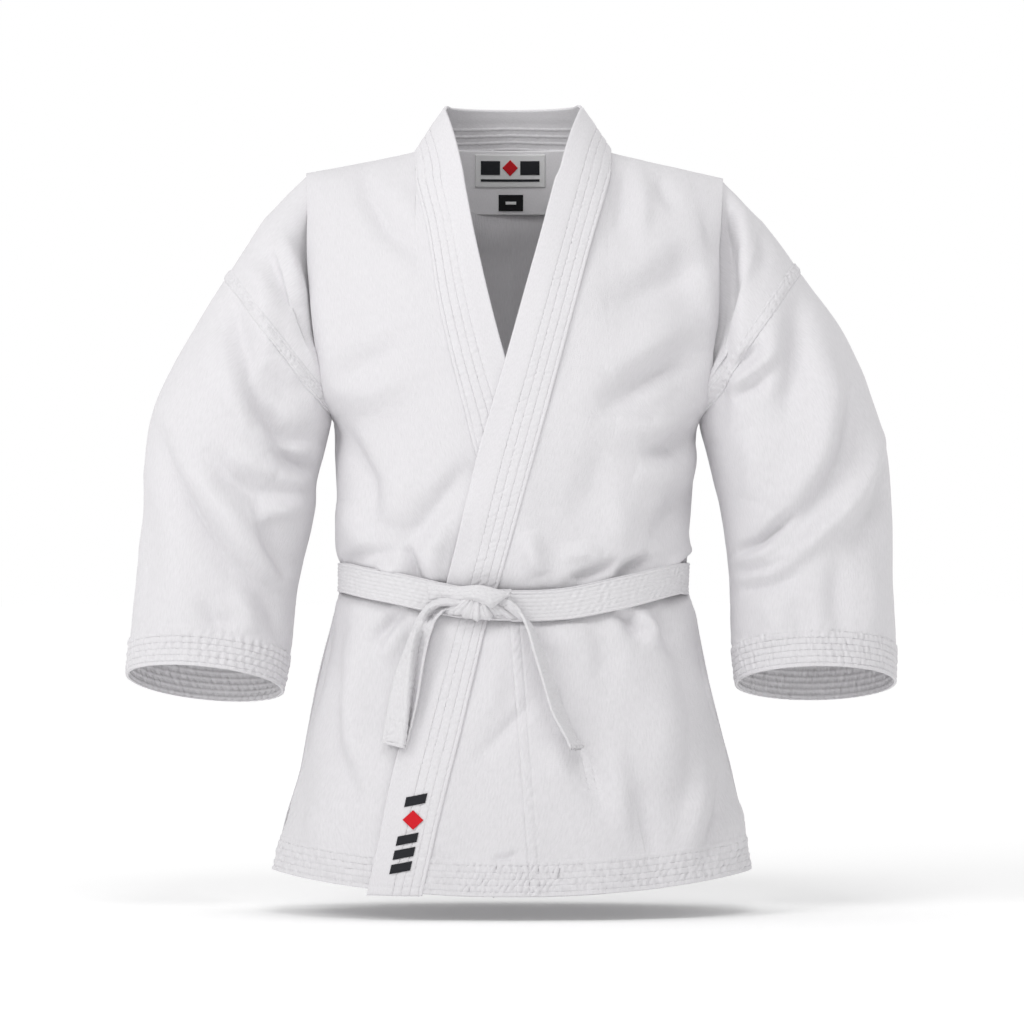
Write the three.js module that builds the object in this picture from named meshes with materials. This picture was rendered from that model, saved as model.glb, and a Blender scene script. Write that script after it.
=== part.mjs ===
import * as THREE from "three";

// Martial arts jacket with its tied belt, in millimetres. +Z is up and the front faces -Y.
// The origin is level with the top of the shoulders, at the middle of the neck.
// Left and right are the wearer's own: the wearer's left is +X.

// Driving dimensions.
const SHOULDER_SPAN = 428; // armhole to armhole across the shoulders
const ARMPIT_Z = -278;
const VENT_TOP_Z = -674;
const HEM_CENTRE_Z = -779;
const HEM_CORNER_RISE = 25;
const HEM_BAND = 36;
const VENT_SLIT = 3;
const VENT_FACING = 10;
const CLOTH = 1.6;
const HEM_THICK = 2.8;
const FELLED_THICK = 3.0;
const FELLED_WIDTH = 10;
const CENTRE_STRIP = 8;
const LAPEL_THICK = 3.6;
const LABEL_THICK = 0.6;
const LINING_THICK = 0.8;
const TIE_WIDTH = 12;
const TIE_THICK = 1.2;
const BELT_WIDTH = 31;
const BELT_THICK = 3.0;
const BELT_SIDE_Z = -446;
const BELT_SAG = 28;
const NECK_HALF = 69; // half the width of the collar's top edge
const COLLAR_TOP_Z = 45;
const NECKLINE_Z = 4; // back neckline at the middle
const COLLAR_FRONT_Z = -30; // where the back collar is joined to the lapels
const SLEEVE_DEPTH = 154; // front to back across the sleeve at the elbow
const CUFF_BAND = 38;
const CUFF_TILT = 18;
const SEAM_GAP = 0.6; // clear space between pieces sewn edge to edge
const LAYER_GAP = 0.7; // clear space between pieces lying on each other
const LAPEL_SEAM = LAPEL_THICK / 6; // clear space beside a lapel, wider for a thicker one

// How far each layer's middle lies outside the under front's middle.
const OVER_FRONT = 4.0;
const OVER_LAPEL = 4.8;
const BELT_INNER = OVER_LAPEL + LAPEL_THICK / 2 + LAYER_GAP + BELT_THICK / 2;
const BELT_OUTER = BELT_INNER + BELT_THICK + LAYER_GAP;
const BELT_BACK = HEM_THICK / 2 + LAYER_GAP + BELT_THICK / 2;

const WHITE = 0xf2f3f5;
const BELT_WHITE = 0xebecee;
const CHARCOAL = 0x26282c;

const group = new THREE.Group();

function node(name, geometry, colour = WHITE) {
  const material = new THREE.MeshStandardMaterial({ color: colour, roughness: 0.9 });
  const mesh = new THREE.Mesh(geometry, material);
  mesh.name = name;
  group.add(mesh);
}

const lerp = (a, b, t) => a + (b - a) * t;
const clamp = (v, low, high) => Math.min(high, Math.max(low, v));
const ease = (t) => {
  const c = clamp(t, 0, 1);
  return c * c * (3 - 2 * c);
};
const rad = (degrees) => (degrees * Math.PI) / 180;

// A smooth curve through [position, value] pairs with rising positions.
function curve(pairs) {
  const slope = (i) => {
    const a = pairs[Math.max(0, i - 1)];
    const b = pairs[Math.min(pairs.length - 1, i + 1)];
    return (b[1] - a[1]) / (b[0] - a[0]);
  };
  return (at) => {
    const p = clamp(at, pairs[0][0], pairs[pairs.length - 1][0]);
    let i = 0;
    while (i < pairs.length - 2 && p > pairs[i + 1][0]) i++;
    const [x0, y0] = pairs[i];
    const [x1, y1] = pairs[i + 1];
    const h = x1 - x0;
    const t = (p - x0) / h;
    const t2 = t * t;
    const t3 = t2 * t;
    return (
      (2 * t3 - 3 * t2 + 1) * y0 +
      (t3 - 2 * t2 + t) * h * slope(i) +
      (3 * t2 - 2 * t3) * y1 +
      (t3 - t2) * h * slope(i + 1)
    );
  };
}

// The same for what reaches the hem: below its first pair it goes on straight.
function hanging(pairs) {
  const [[z0, low], [z1, next]] = pairs;
  const at = curve(pairs);
  return (z) => (z < z0 ? low + ((z - z0) * (next - low)) / (z1 - z0) : at(z));
}

// The body: half width, and depth in front of and behind the side seams, by height.
const halfWidth = hanging([
  [-790, 256], [-754, 250.5], [-706, 241], [-651, 226.5], [-610, 217], [-558, 205],
  [-495, 191], [-461, 183], [-427, 181], [-377, 184], [-320, 187], [ARMPIT_Z, 188],
  [-240, 203], [-200, 214], [-150, 222], [-100, 226], [-34, 230], [60, 234],
]);
const frontDepth = hanging([
  [-790, 158], [-706, 146], [-610, 133], [-520, 120], [-461, 114], [-427, 113],
  [-377, 116], [ARMPIT_Z, 121], [-200, 124], [-100, 121], [0, 114], [50, 108],
]);
const backDepth = hanging([
  [-790, 140], [-706, 130], [-610, 120], [-520, 110], [-461, 102], [-427, 100],
  [-377, 104], [ARMPIT_Z, 112], [-200, 118], [-100, 114], [0, 100], [50, 88],
]);
// Where the body panels end at the side: the side seam, and above the armpit the armhole.
const ARMHOLE_TOP_X = SHOULDER_SPAN / 2;
const sideEdge = hanging([
  [-790, 256], [-754, 250.5], [-706, 241], [-651, 226.5], [-610, 217], [-558, 205],
  [-495, 191], [-461, 183], [-427, 181], [-377, 184], [-320, 187], [ARMPIT_Z, 188],
  [-240, 189.5], [-200, 195], [-154, 201], [-100, 207], [-22, ARMHOLE_TOP_X], [60, 216],
]);

// Height of the shoulder ridge, rising to the neck inside the collar.
const NECK_ROUND = 40;
const NECK_BASE = 99;
const NECK_RADIUS = Math.hypot(NECK_BASE, NECK_ROUND);
const NECK_SLOPE = COLLAR_TOP_Z / (NECK_RADIUS - Math.hypot(NECK_HALF, NECK_ROUND));
function ridgeZ(x) {
  const r = Math.hypot(x, NECK_ROUND);
  return r < NECK_RADIUS ? NECK_SLOPE * (NECK_RADIUS - r) : -0.19 * (Math.abs(x) - NECK_BASE);
}
const arch = (x, z) => (z > ARMPIT_Z ? (z - ARMPIT_Z) / (ridgeZ(x) - ARMPIT_Z) : 0);

// Zero on the body's surface and positive inside it.
function field(x, y, z) {
  const depth = y < 0 ? frontDepth(z) : backDepth(z);
  const across = 1 - Math.pow(Math.abs(x) / halfWidth(z), 2.5);
  const q = arch(x, z);
  return depth * depth * across * (1 - q * q) - y * y;
}

// A point of the body: front is -1 in front and 1 behind, offset lies along the normal.
function bodyPoint(x, z, front, offset) {
  const depth = front < 0 ? frontDepth(z) : backDepth(z);
  const across = Math.max(0, 1 - Math.pow(Math.abs(x) / halfWidth(z), 2.5));
  const q = arch(x, z);
  const y = front * depth * Math.sqrt(across * Math.max(0, 1 - q * q));
  return offsetFrom(new THREE.Vector3(x, y, z), front, offset);
}

function offsetFrom(p, front, offset) {
  const e = 0.05;
  const yy = front < 0 ? Math.min(p.y, -1e-6) : Math.max(p.y, 1e-6);
  const normal = new THREE.Vector3(
    field(p.x - e, yy, p.z) - field(p.x + e, yy, p.z),
    field(p.x, yy - e, p.z) - field(p.x, yy + e, p.z),
    field(p.x, yy, p.z - e) - field(p.x, yy, p.z + e),
  );
  return p.clone().addScaledVector(normal.normalize(), offset);
}

// A body point by its angle over the shoulder: 0 at the front armpit level, 180 behind.
function overShoulder(x, degrees, offset) {
  const sine = Math.min(0.999998, Math.sin(rad(degrees)));
  const z = ARMPIT_Z + (ridgeZ(x) - ARMPIT_Z) * sine;
  return bodyPoint(x, z, degrees < 90 ? -1 : 1, offset);
}
const angleAt = (x, z) => (Math.asin(clamp(arch(x, z), 0, 1)) * 180) / Math.PI;

// One closed piece from a grid of points on each face; wrap joins the last column to the first.
function slab(outer, inner, wrap = false) {
  const rows = outer.length;
  const cols = outer[0].length;
  const flat = [...outer.flat(), ...inner.flat()];
  const at = (side, i, j) => side * rows * cols + i * cols + (j % cols);
  const quads = [];
  const last = wrap ? cols : cols - 1;
  for (let i = 0; i < rows - 1; i++)
    for (let j = 0; j < last; j++)
      for (const side of [0, 1]) {
        const q = [at(side, i, j), at(side, i, j + 1), at(side, i + 1, j + 1), at(side, i + 1, j)];
        quads.push(side ? q.reverse() : q);
      }
  for (let j = 0; j < last; j++) {
    quads.push([at(0, 0, j + 1), at(0, 0, j), at(1, 0, j), at(1, 0, j + 1)]);
    const end = rows - 1;
    quads.push([at(0, end, j), at(0, end, j + 1), at(1, end, j + 1), at(1, end, j)]);
  }
  for (let i = 0; i < rows - 1 && !wrap; i++) {
    quads.push([at(0, i, 0), at(0, i + 1, 0), at(1, i + 1, 0), at(1, i, 0)]);
    const end = cols - 1;
    quads.push([at(0, i + 1, end), at(0, i, end), at(1, i, end), at(1, i + 1, end)]);
  }
  const index = quads.flatMap(([a, b, c, d]) => [a, b, c, a, c, d]);
  let volume = 0;
  for (let i = 0; i < index.length; i += 3) {
    const [a, b, c] = [flat[index[i]], flat[index[i + 1]], flat[index[i + 2]]];
    volume += a.dot(b.clone().cross(c));
  }
  if (volume < 0) index.reverse();
  const geometry = new THREE.BufferGeometry();
  geometry.setFromPoints(flat);
  geometry.setIndex(index);
  geometry.computeVertexNormals();
  return geometry;
}

// A piece of cloth: place(u, v, offset) gives a point, with u down the rows and v across.
function cloth(rows, cols, thick, place) {
  const face = (offset) =>
    rows.map((u) => Array.from({ length: cols + 1 }, (_, j) => place(u, j / cols, offset)));
  return slab(face(thick / 2), face(-thick / 2));
}
const steps = (from, to, count) =>
  Array.from({ length: count + 1 }, (_, i) => lerp(from, to, i / count));

// Lapel edges by height, for the over lapel on the wearer's left front.
const overOuter = hanging([
  [-790, -94], [-735, -83], [-674, -69], [-611, -53.5], [-489, -25], [-461, -16],
  [-315, 24], [-217, 50.4], [-185, 58.8], [-110, 78], [-34, 97.6], [-3, 103], [20, 105],
]);
const overInner = hanging([
  [-790, -151], [-735, -138.6], [-630, -116.5], [-444, -65], [-319, -35.7],
  [-217, -6.3], [-100, 26], [3, 53], [45, 69],
]);
const underOuter = hanging([
  [-790, 94], [-611, 53.5], [-489, 25], [-461, 17], [-317, -37], [-270, -49],
  [-212, -64], [-158, -75.6], [-79, -89], [-30, -100], [-3, -103], [20, -105],
]);
const underInner = hanging([
  [-790, 151], [-630, 116.5], [-444, 65], [-319, 28], [-215, -7.4], [-100, -36],
  [24, -60], [45, -69],
]);
// Seam of the front extension, from the lapel at the belt to the hem.
const extensionSeam = hanging([[-790, 25], [-777, 24], [-490, 0], [-440, -8]]);
const EXTENSION_TOP_Z = -505;

const frontHem = (x) => HEM_CENTRE_Z + HEM_CORNER_RISE * Math.pow(Math.abs(x) / 250, 2);
const backHem = (x) => HEM_CENTRE_Z + 10 + (HEM_CORNER_RISE - 10) * Math.pow(Math.abs(x) / 250, 2);

// The over front comes back to the under front's level at its side seam.
const acrossAngle = (x, z) =>
  (Math.asin(clamp(x / halfWidth(z), -1, 1)) * 180) / Math.PI;
const overLift = (x, z) => OVER_FRONT * ease((80 - acrossAngle(x, z)) / 36);

const FRONTS = [
  { name: "right", side: -1, outer: underOuter, inner: underInner, lift: () => 0, lapel: 0 },
  { name: "left", side: 1, outer: overOuter, inner: overInner, lift: overLift, lapel: OVER_LAPEL },
];
const CHEST_ANGLES = [7, 14, 21, 28, 35, 42, 49, 56, 62];
const TOP_ANGLES = [68, 74, 80, 85, 89.85];
const WAIST_ROWS = steps(VENT_TOP_Z + SEAM_GAP / 2, ARMPIT_Z, 19);
const SKIRT_ROWS = steps(0, 1, 4);
const SEAM_EASE = 0.999997; // keeps side edges just short of the side seam

for (const f of FRONTS) {
  const s = f.side;
  const lapelSide = (z) => f.outer(z) + s * LAPEL_SEAM;
  const seamX = (z) => s * extensionSeam(z);
  const lifted = (x, z, offset) => bodyPoint(x, z, -1, offset + f.lift(s * x, z));
  const between = (fromX, toX, z, v, offset) => {
    const reach = halfWidth(z);
    const a = Math.asin(clamp(fromX / reach, -1, 1));
    const b = Math.asin(clamp(toX / reach, -1, 1));
    return lifted(reach * Math.sin(lerp(a, b, v)), z, offset);
  };
  const panelEdge = (z) => (z > EXTENSION_TOP_Z ? lapelSide(z) : seamX(z) + s * SEAM_GAP);
  const sideX = (z) => s * sideEdge(z) * SEAM_EASE;

  // Front panel from the vent top to the shoulder ridge.
  const panelPoint = (row, v, offset) => {
    if (row.z !== undefined) return between(sideX(row.z), panelEdge(row.z), row.z, v, offset);
    let x = s * 150;
    let z = -150;
    for (let k = 0; k < 40; k++) {
      z = ARMPIT_Z + (ridgeZ(x) - ARMPIT_Z) * Math.sin(rad(row.degrees));
      x = lerp(s * sideEdge(z), lapelSide(z), v);
    }
    return overShoulder(x, row.degrees, offset + f.lift(s * x, z));
  };
  const panelRows = WAIST_ROWS.map((z) => ({ z }));
  for (const degrees of [...CHEST_ANGLES, ...TOP_ANGLES]) panelRows.push({ degrees });
  node(`${f.name}_front_panel`, cloth(panelRows, 8, CLOTH, panelPoint));

  // Front extension between the straight seam and the lapel, above and below the vent top.
  const extension = (z, v, offset) => between(seamX(z), lapelSide(z), z, v, offset);
  const upperRows = steps(VENT_TOP_Z + SEAM_GAP / 2, EXTENSION_TOP_Z - 6, 6);
  node(`${f.name}_front_extension`, cloth(upperRows, 3, CLOTH, extension));

  // Skirt panel below the vent top, its stitched vent edge, and the hem band.
  const ventX = (z, inset) => {
    const reach = halfWidth(z);
    return s * reach * Math.sin(Math.PI / 2 - inset / frontDepth(z));
  };
  const skirtZ = (x, u) =>
    lerp(VENT_TOP_Z - SEAM_GAP / 2, frontHem(x) + HEM_BAND + SEAM_GAP, u);
  const skirt = (fromX, toX) => (u, v, offset) => {
    let z = lerp(VENT_TOP_Z, HEM_CENTRE_Z + HEM_BAND, u);
    let x = 0;
    for (let k = 0; k < 12; k++) {
      const reach = halfWidth(z);
      const a = Math.asin(clamp(fromX(z) / reach, -1, 1));
      const b = Math.asin(clamp(toX(z) / reach, -1, 1));
      x = reach * Math.sin(lerp(a, b, v));
      z = skirtZ(x, u);
    }
    return lifted(x, z, offset);
  };
  const facingEdge = VENT_SLIT / 2 + VENT_FACING;
  const fromFacing = (z) => ventX(z, facingEdge + SEAM_GAP);
  const toSeam = (z) => seamX(z) + s * SEAM_GAP;
  node(`${f.name}_front_skirt_panel`, cloth(SKIRT_ROWS, 8, CLOTH, skirt(fromFacing, toSeam)));
  node(
    `${f.name}_front_skirt_extension`,
    cloth(SKIRT_ROWS, 4, CLOTH, skirt(seamX, lapelSide)),
  );
  node(
    `${f.name}_front_vent_edge`,
    cloth(SKIRT_ROWS, 1, HEM_THICK, skirt((z) => ventX(z, VENT_SLIT / 2), (z) => ventX(z, facingEdge))),
  );
  const hem = (u, v, offset) => {
    let z = HEM_CENTRE_Z + HEM_BAND * (1 - u);
    let x = 0;
    for (let k = 0; k < 12; k++) {
      const reach = halfWidth(z);
      const a = Math.asin(clamp(ventX(z, VENT_SLIT / 2) / reach, -1, 1));
      const b = Math.asin(clamp(lapelSide(z) / reach, -1, 1));
      x = reach * Math.sin(lerp(a, b, v));
      z = frontHem(x) + HEM_BAND * (1 - u);
    }
    return lifted(x, z, offset);
  };
  node(`${f.name}_front_hem`, cloth(steps(0, 1, 2), 18, HEM_THICK, hem));

  // Lapel from the collar's front down to the vent top, and its end below.
  const lapelAt = (z, v, offset) => {
    const x = lerp(f.outer(z), f.inner(z), v);
    return bodyPoint(x, z, -1, offset + f.lapel);
  };
  const lapelRows = [...WAIST_ROWS];
  for (const degrees of CHEST_ANGLES) {
    let z = -150;
    for (let k = 0; k < 40; k++)
      z = ARMPIT_Z + (ridgeZ(f.outer(z)) - ARMPIT_Z) * Math.sin(rad(degrees));
    lapelRows.push(z);
  }
  lapelRows.push(COLLAR_FRONT_Z - SEAM_GAP);
  node(s > 0 ? "over_lapel" : "under_lapel", cloth(lapelRows, 4, LAPEL_THICK, lapelAt));
  const endRow = (u, v, offset) => {
    const x0 = lerp(f.outer(HEM_CENTRE_Z), f.inner(HEM_CENTRE_Z), v);
    return lapelAt(lerp(VENT_TOP_Z - SEAM_GAP / 2, frontHem(x0), u), v, offset);
  };
  node(s > 0 ? "over_lapel_end" : "under_lapel_end", cloth(steps(0, 1, 5), 3, LAPEL_THICK, endRow));
}

// Back panels, one each side of the felled centre seam, up to the neckline and the ridge.
const neckAngle = (x) => 180 - angleAt(x, NECKLINE_Z - 0.05 * Math.abs(x));
const backTop = (x) => (Math.abs(x) < 103 ? neckAngle(x) : 90.15);
function backPoint(fromX, toX) {
  return (row, v, offset) => {
    if (row.z !== undefined) {
      const reach = halfWidth(row.z);
      const a = Math.asin(clamp(fromX(row.z) / reach, -1, 1));
      const b = Math.asin(clamp(toX(row.z) / reach, -1, 1));
      return bodyPoint(reach * Math.sin(lerp(a, b, v)), row.z, 1, offset);
    }
    let x = lerp(fromX(-120), toX(-120), v);
    let degrees = 180;
    for (let k = 0; k < 40; k++) {
      degrees = lerp(180, backTop(x), row.part);
      const z = ARMPIT_Z + (ridgeZ(x) - ARMPIT_Z) * Math.sin(rad(degrees));
      x = lerp(fromX(z), toX(z), v);
    }
    return overShoulder(x, degrees, offset);
  };
}
const BACK_ROWS = WAIST_ROWS.map((z) => ({ z }));
for (const part of [0.12, 0.24, 0.36, 0.48, 0.6, 0.72, 0.84, 0.93, 1]) BACK_ROWS.push({ part });
for (const [name, s] of [["right", -1], ["left", 1]]) {
  const half = CENTRE_STRIP / 2 + SEAM_GAP;
  const panel = backPoint((z) => s * half, (z) => s * sideEdge(z) * SEAM_EASE);
  node(`${name}_back_panel`, cloth(BACK_ROWS, 8, CLOTH, panel));
}
node(
  "back_centre_seam",
  cloth(BACK_ROWS, 1, HEM_THICK, backPoint(() => -CENTRE_STRIP / 2, () => CENTRE_STRIP / 2)),
);

// Back skirt below the vent tops: panel, vent edges and hem band.
const backVentX = (z, inset) => halfWidth(z) * Math.sin(Math.PI / 2 - inset / backDepth(z));
const backSkirt = (fromX, toX, topZ, bottomZ) => (u, v, offset) => {
  let z = -720;
  let x = 0;
  for (let k = 0; k < 12; k++) {
    const reach = halfWidth(z);
    const a = Math.asin(clamp(fromX(z) / reach, -1, 1));
    const b = Math.asin(clamp(toX(z) / reach, -1, 1));
    x = reach * Math.sin(lerp(a, b, v));
    z = lerp(topZ(x), bottomZ(x), u);
  }
  return bodyPoint(x, z, 1, offset);
};
const skirtTop = () => VENT_TOP_Z - SEAM_GAP / 2;
const bandTop = (x) => backHem(x) + HEM_BAND;
const facing = VENT_SLIT / 2 + VENT_FACING;
const panelSide = (s) => (z) => s * backVentX(z, facing + SEAM_GAP);
const panelFoot = (x) => bandTop(x) + SEAM_GAP;
const skirtPanel = backSkirt(panelSide(-1), panelSide(1), skirtTop, panelFoot);
node("back_skirt_panel", cloth(SKIRT_ROWS, 16, CLOTH, skirtPanel));
for (const [name, s] of [["right", -1], ["left", 1]]) {
  const edge = (inset) => (z) => s * backVentX(z, inset);
  const place = backSkirt(edge(VENT_SLIT / 2), edge(facing), skirtTop, panelFoot);
  node(`${name}_back_vent_edge`, cloth(SKIRT_ROWS, 1, HEM_THICK, place));
}
const hemSide = (s) => (z) => s * backVentX(z, VENT_SLIT / 2);
const hemPlace = backSkirt(hemSide(-1), hemSide(1), bandTop, backHem);
node("back_hem", cloth(steps(0, 1, 2), 24, HEM_THICK, hemPlace));

// Collar round the back of the neck, from one lapel's top to the other's.
function collarEdge(t, upper) {
  const s = t < 2 ? -1 : 1;
  const p = t < 2 ? t : 4 - t;
  const start = upper ? 50.5 : 100.2;
  const startAngle = angleAt(start, COLLAR_FRONT_Z + SEAM_GAP);
  const ridgeX = upper ? NECK_HALF : 102.2;
  if (p < 1) return [s * lerp(start, ridgeX, ease(p)), lerp(startAngle, 90, p)];
  const x = ridgeX * Math.cos(((p - 1) * Math.PI) / 2);
  const z = upper ? COLLAR_TOP_Z - 0.3 : NECKLINE_Z + 1.2 - 0.05 * x;
  const full = 180 - angleAt(x, Math.min(z, ridgeZ(x) - 0.001));
  return [s * x, lerp(90, full, ease((p - 1) * 4))];
}
const collar = (t, v, offset) => {
  const [x0, a0] = collarEdge(t, false);
  const [x1, a1] = collarEdge(t, true);
  const lift = offset + (t > 2 ? OVER_LAPEL * ease((t - 2.6) / 1.2) : 0);
  return overShoulder(lerp(x0, x1, v), lerp(a0, a1, v), lift);
};
const COLLAR_STEPS = steps(0, 4, 28);
node("back_collar", cloth(COLLAR_STEPS, 3, LAPEL_THICK, collar));

// Neck lining, label and tab inside the back.
const inside = (x0, x1, z0, z1, depth) => (u, v, offset) =>
  bodyPoint(lerp(x0, x1, v), lerp(z0, z1, u), 1, offset - depth);
const LINING_DEPTH = HEM_THICK / 2 + LAYER_GAP + LINING_THICK / 2;
const LABEL_DEPTH = LINING_DEPTH + LINING_THICK / 2 + LAYER_GAP + LABEL_THICK / 2;
node("neck_lining", cloth(steps(0, 1, 5), 10, LINING_THICK, inside(-58, 58, -3, -60, LINING_DEPTH)));
node("neck_label", cloth(steps(0, 1, 3), 6, LABEL_THICK, inside(-40, 36, -6, -36, LABEL_DEPTH)));
node("size_tab", cloth(steps(0, 1, 2), 2, LABEL_THICK, inside(-14, 12, -42, -57, LABEL_DEPTH)));

// Sleeves: rings set by an outer and an inner point, a half depth, a forward shift and a tilt.
const RINGS = [
  [258, -70, 189, -272, 76, 0, 0],
  [301, -133, 191.5, -274, 78, 0, 0],
  [345, -205, 192.5, -283, 80, 0, 0],
  [377, -271, 196, -305, 80, 0, 0],
  [385, -330, 203, -340, 78, 0, 0],
  [387, -377, 210, -377, SLEEVE_DEPTH / 2, 0, 0],
  [392, -440, 221, -448, 76, -3, 4],
  [398, -500, 231, -512, 75, -7, 11],
  [403, -551, 241, -564, 74, -12, CUFF_TILT],
];
const ringValue = RINGS[0].map((_, k) => curve(RINGS.map((r, i) => [i, r[k]])));
function ringPoint(s, t, angle, offset) {
  const [xo, zo, xi, zi, depth, shift, tilt] = ringValue.map((value) => value(t));
  const half = Math.hypot(xo - xi, zo - zi) / 2;
  const c = Math.cos(angle) * (1 + offset / half);
  const d = Math.sin(angle) * (1 + offset / depth);
  const x = (xo + xi) / 2 + ((xo - xi) / 2) * c;
  const z = (zo + zi) / 2 + ((zo - zi) / 2) * c + tilt * Math.sin(angle);
  return new THREE.Vector3(s * x, shift - depth * d, z);
}
function armholePoint(s, angle, offset) {
  const top = ridgeZ(ARMHOLE_TOP_X);
  const z = lerp(ARMPIT_Z, top, 0.5 + 0.5 * Math.cos(angle));
  const p = bodyPoint(s * sideEdge(z), z, Math.sin(angle) > 0 ? -1 : 1, 0);
  p.x += s * 1.9;
  p.y -= Math.sin(angle) * offset;
  p.z += Math.cos(angle) * offset;
  return p;
}
function tube(fromT, toT, count, around, thick, place) {
  const face = (offset) =>
    steps(fromT, toT, count).map((t) =>
      Array.from({ length: around }, (_, j) => place(t, (j / around) * 2 * Math.PI, offset)),
    );
  return slab(face(thick / 2), face(-thick / 2), true);
}
const AROUND = 24;
const CUFF_FROM = 8 - CUFF_BAND / 52;
const GUSSET = 0.34; // half the gusset's angle round the sleeve's underside
for (const [name, s] of [["right", -1], ["left", 1]]) {
  const cap = (t, angle, offset) => {
    const from = armholePoint(s, angle, offset);
    const to = ringPoint(s, t < 0 ? 0 : t, angle, offset);
    return from.lerp(to, ease(t + 1) * 0.35 + (t + 1) * 0.65);
  };
  const shoulder = (t, angle, offset) => (t < 0 ? cap(t, angle, offset) : ringPoint(s, t, angle, offset));
  node(`${name}_shoulder_cap`, tube(-1, 0.86, 5, AROUND, CLOTH, shoulder));
  const ring = (t, angle, offset) => ringPoint(s, t, angle, offset);
  node(`${name}_armhole_band`, tube(0.87, 0.99, 1, AROUND, FELLED_THICK, ring));
  const wrapFrom = (angle) => (t, v, offset) =>
    ringPoint(s, t, lerp(angle[0], angle[1], v), offset);
  const crack = 0.008;
  const upperSpan = [-(Math.PI - GUSSET), Math.PI - GUSSET];
  const gussetSpan = [Math.PI - GUSSET + crack, Math.PI + GUSSET - crack];
  node(`${name}_upper_sleeve`, cloth(steps(1.0, 4.995, 8), 22, CLOTH, wrapFrom(upperSpan)));
  node(`${name}_gusset`, cloth(steps(1.0, 4.995, 8), 3, CLOTH, wrapFrom(gussetSpan)));
  node(`${name}_forearm_sleeve`, tube(5.005, CUFF_FROM - 0.01, 5, AROUND, CLOTH, ring));
  node(`${name}_cuff`, tube(CUFF_FROM, 8, 2, AROUND, FELLED_THICK, ring));
}

// Belt: two turns round the waist, sagging in front, clear of every layer below it.
function beltTurn(front, back) {
  return (t, angle, offset) => {
    const c = Math.cos(angle);
    const sag = BELT_SAG * Math.pow(Math.max(0, c), 1.6);
    const z = BELT_SIDE_Z - sag + t * BELT_WIDTH;
    const forward = ease((c + 0.5) / 0.85);
    const x = halfWidth(z) * Math.sin(angle);
    return bodyPoint(x, z, c > 0 ? -1 : 1, offset + lerp(back, front, forward));
  };
}
const turn = (front, back) => tube(-0.5, 0.5, 1, 72, BELT_THICK, beltTurn(front, back));
node("belt_inner_turn", turn(BELT_INNER, BELT_BACK));
node("belt_outer_turn", turn(BELT_OUTER, BELT_BACK + BELT_THICK + LAYER_GAP));

// Knot over the belt's front, a crossing band on it, and the two hanging ends.
const KNOT_X = -32;
const KNOT_Z = -473;
const KNOT_BACK_Y = -frontDepth(KNOT_Z - 12) - BELT_OUTER - BELT_THICK / 2 - LAYER_GAP;
const KNOT_DEPTH = 17;
function pillow(width, height, depth, count) {
  const shape = new THREE.Shape();
  for (let i = 0; i < count; i++) {
    const a = (i / count) * 2 * Math.PI;
    const [c, d] = [Math.cos(a), Math.sin(a)];
    const x = (width / 2) * Math.sign(c) * Math.pow(Math.abs(c), 0.75);
    const z = (height / 2) * Math.sign(d) * Math.pow(Math.abs(d), 0.75);
    if (i) shape.lineTo(x, z);
    else shape.moveTo(x, z);
  }
  shape.closePath();
  const geometry = new THREE.ExtrudeGeometry(shape, {
    depth: depth - 6, bevelEnabled: true, bevelThickness: 3, bevelSize: 3, bevelSegments: 2,
    steps: 1, curveSegments: 1,
  });
  geometry.translate(0, 0, 3);
  geometry.rotateX(Math.PI / 2);
  return geometry;
}
const knot = pillow(50, 30, KNOT_DEPTH, 24);
knot.translate(KNOT_X, KNOT_BACK_Y, KNOT_Z);
node("belt_knot", knot, BELT_WHITE);
const band = pillow(34, 12, 7, 20);
band.rotateY(0.35);
band.translate(KNOT_X + 4, KNOT_BACK_Y - KNOT_DEPTH - LAYER_GAP, KNOT_Z + 2);
node("belt_knot_band", band, BELT_WHITE);

// Each end: centre points with the turn of its width away from straight across, in degrees.
const TAIL_Y = KNOT_BACK_Y - BELT_WIDTH / 2 - 1;
const TAILS = {
  right: [
    [-61, TAIL_Y, -470, 88], [-80, TAIL_Y, -474, 84], [-95, TAIL_Y, -489, 78],
    [-103, TAIL_Y, -508, 72], [-107, TAIL_Y, -532, 66], [-110, TAIL_Y, -558, 60],
    [-114, TAIL_Y - 2, -580, 54], [-118, TAIL_Y - 5, -598, 50], [-125, TAIL_Y - 9, -624, 46],
  ],
  left: [
    [-3, TAIL_Y, -471, 92], [8, TAIL_Y, -481, 94], [15, TAIL_Y - 1, -500, 96],
    [22, TAIL_Y - 2, -524, 98], [29, TAIL_Y - 4, -548, 100], [37, TAIL_Y - 7, -572, 103],
    [47, TAIL_Y - 11, -594, 106], [58, TAIL_Y - 15, -614, 108], [72, TAIL_Y - 19, -638, 110],
  ],
};
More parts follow.
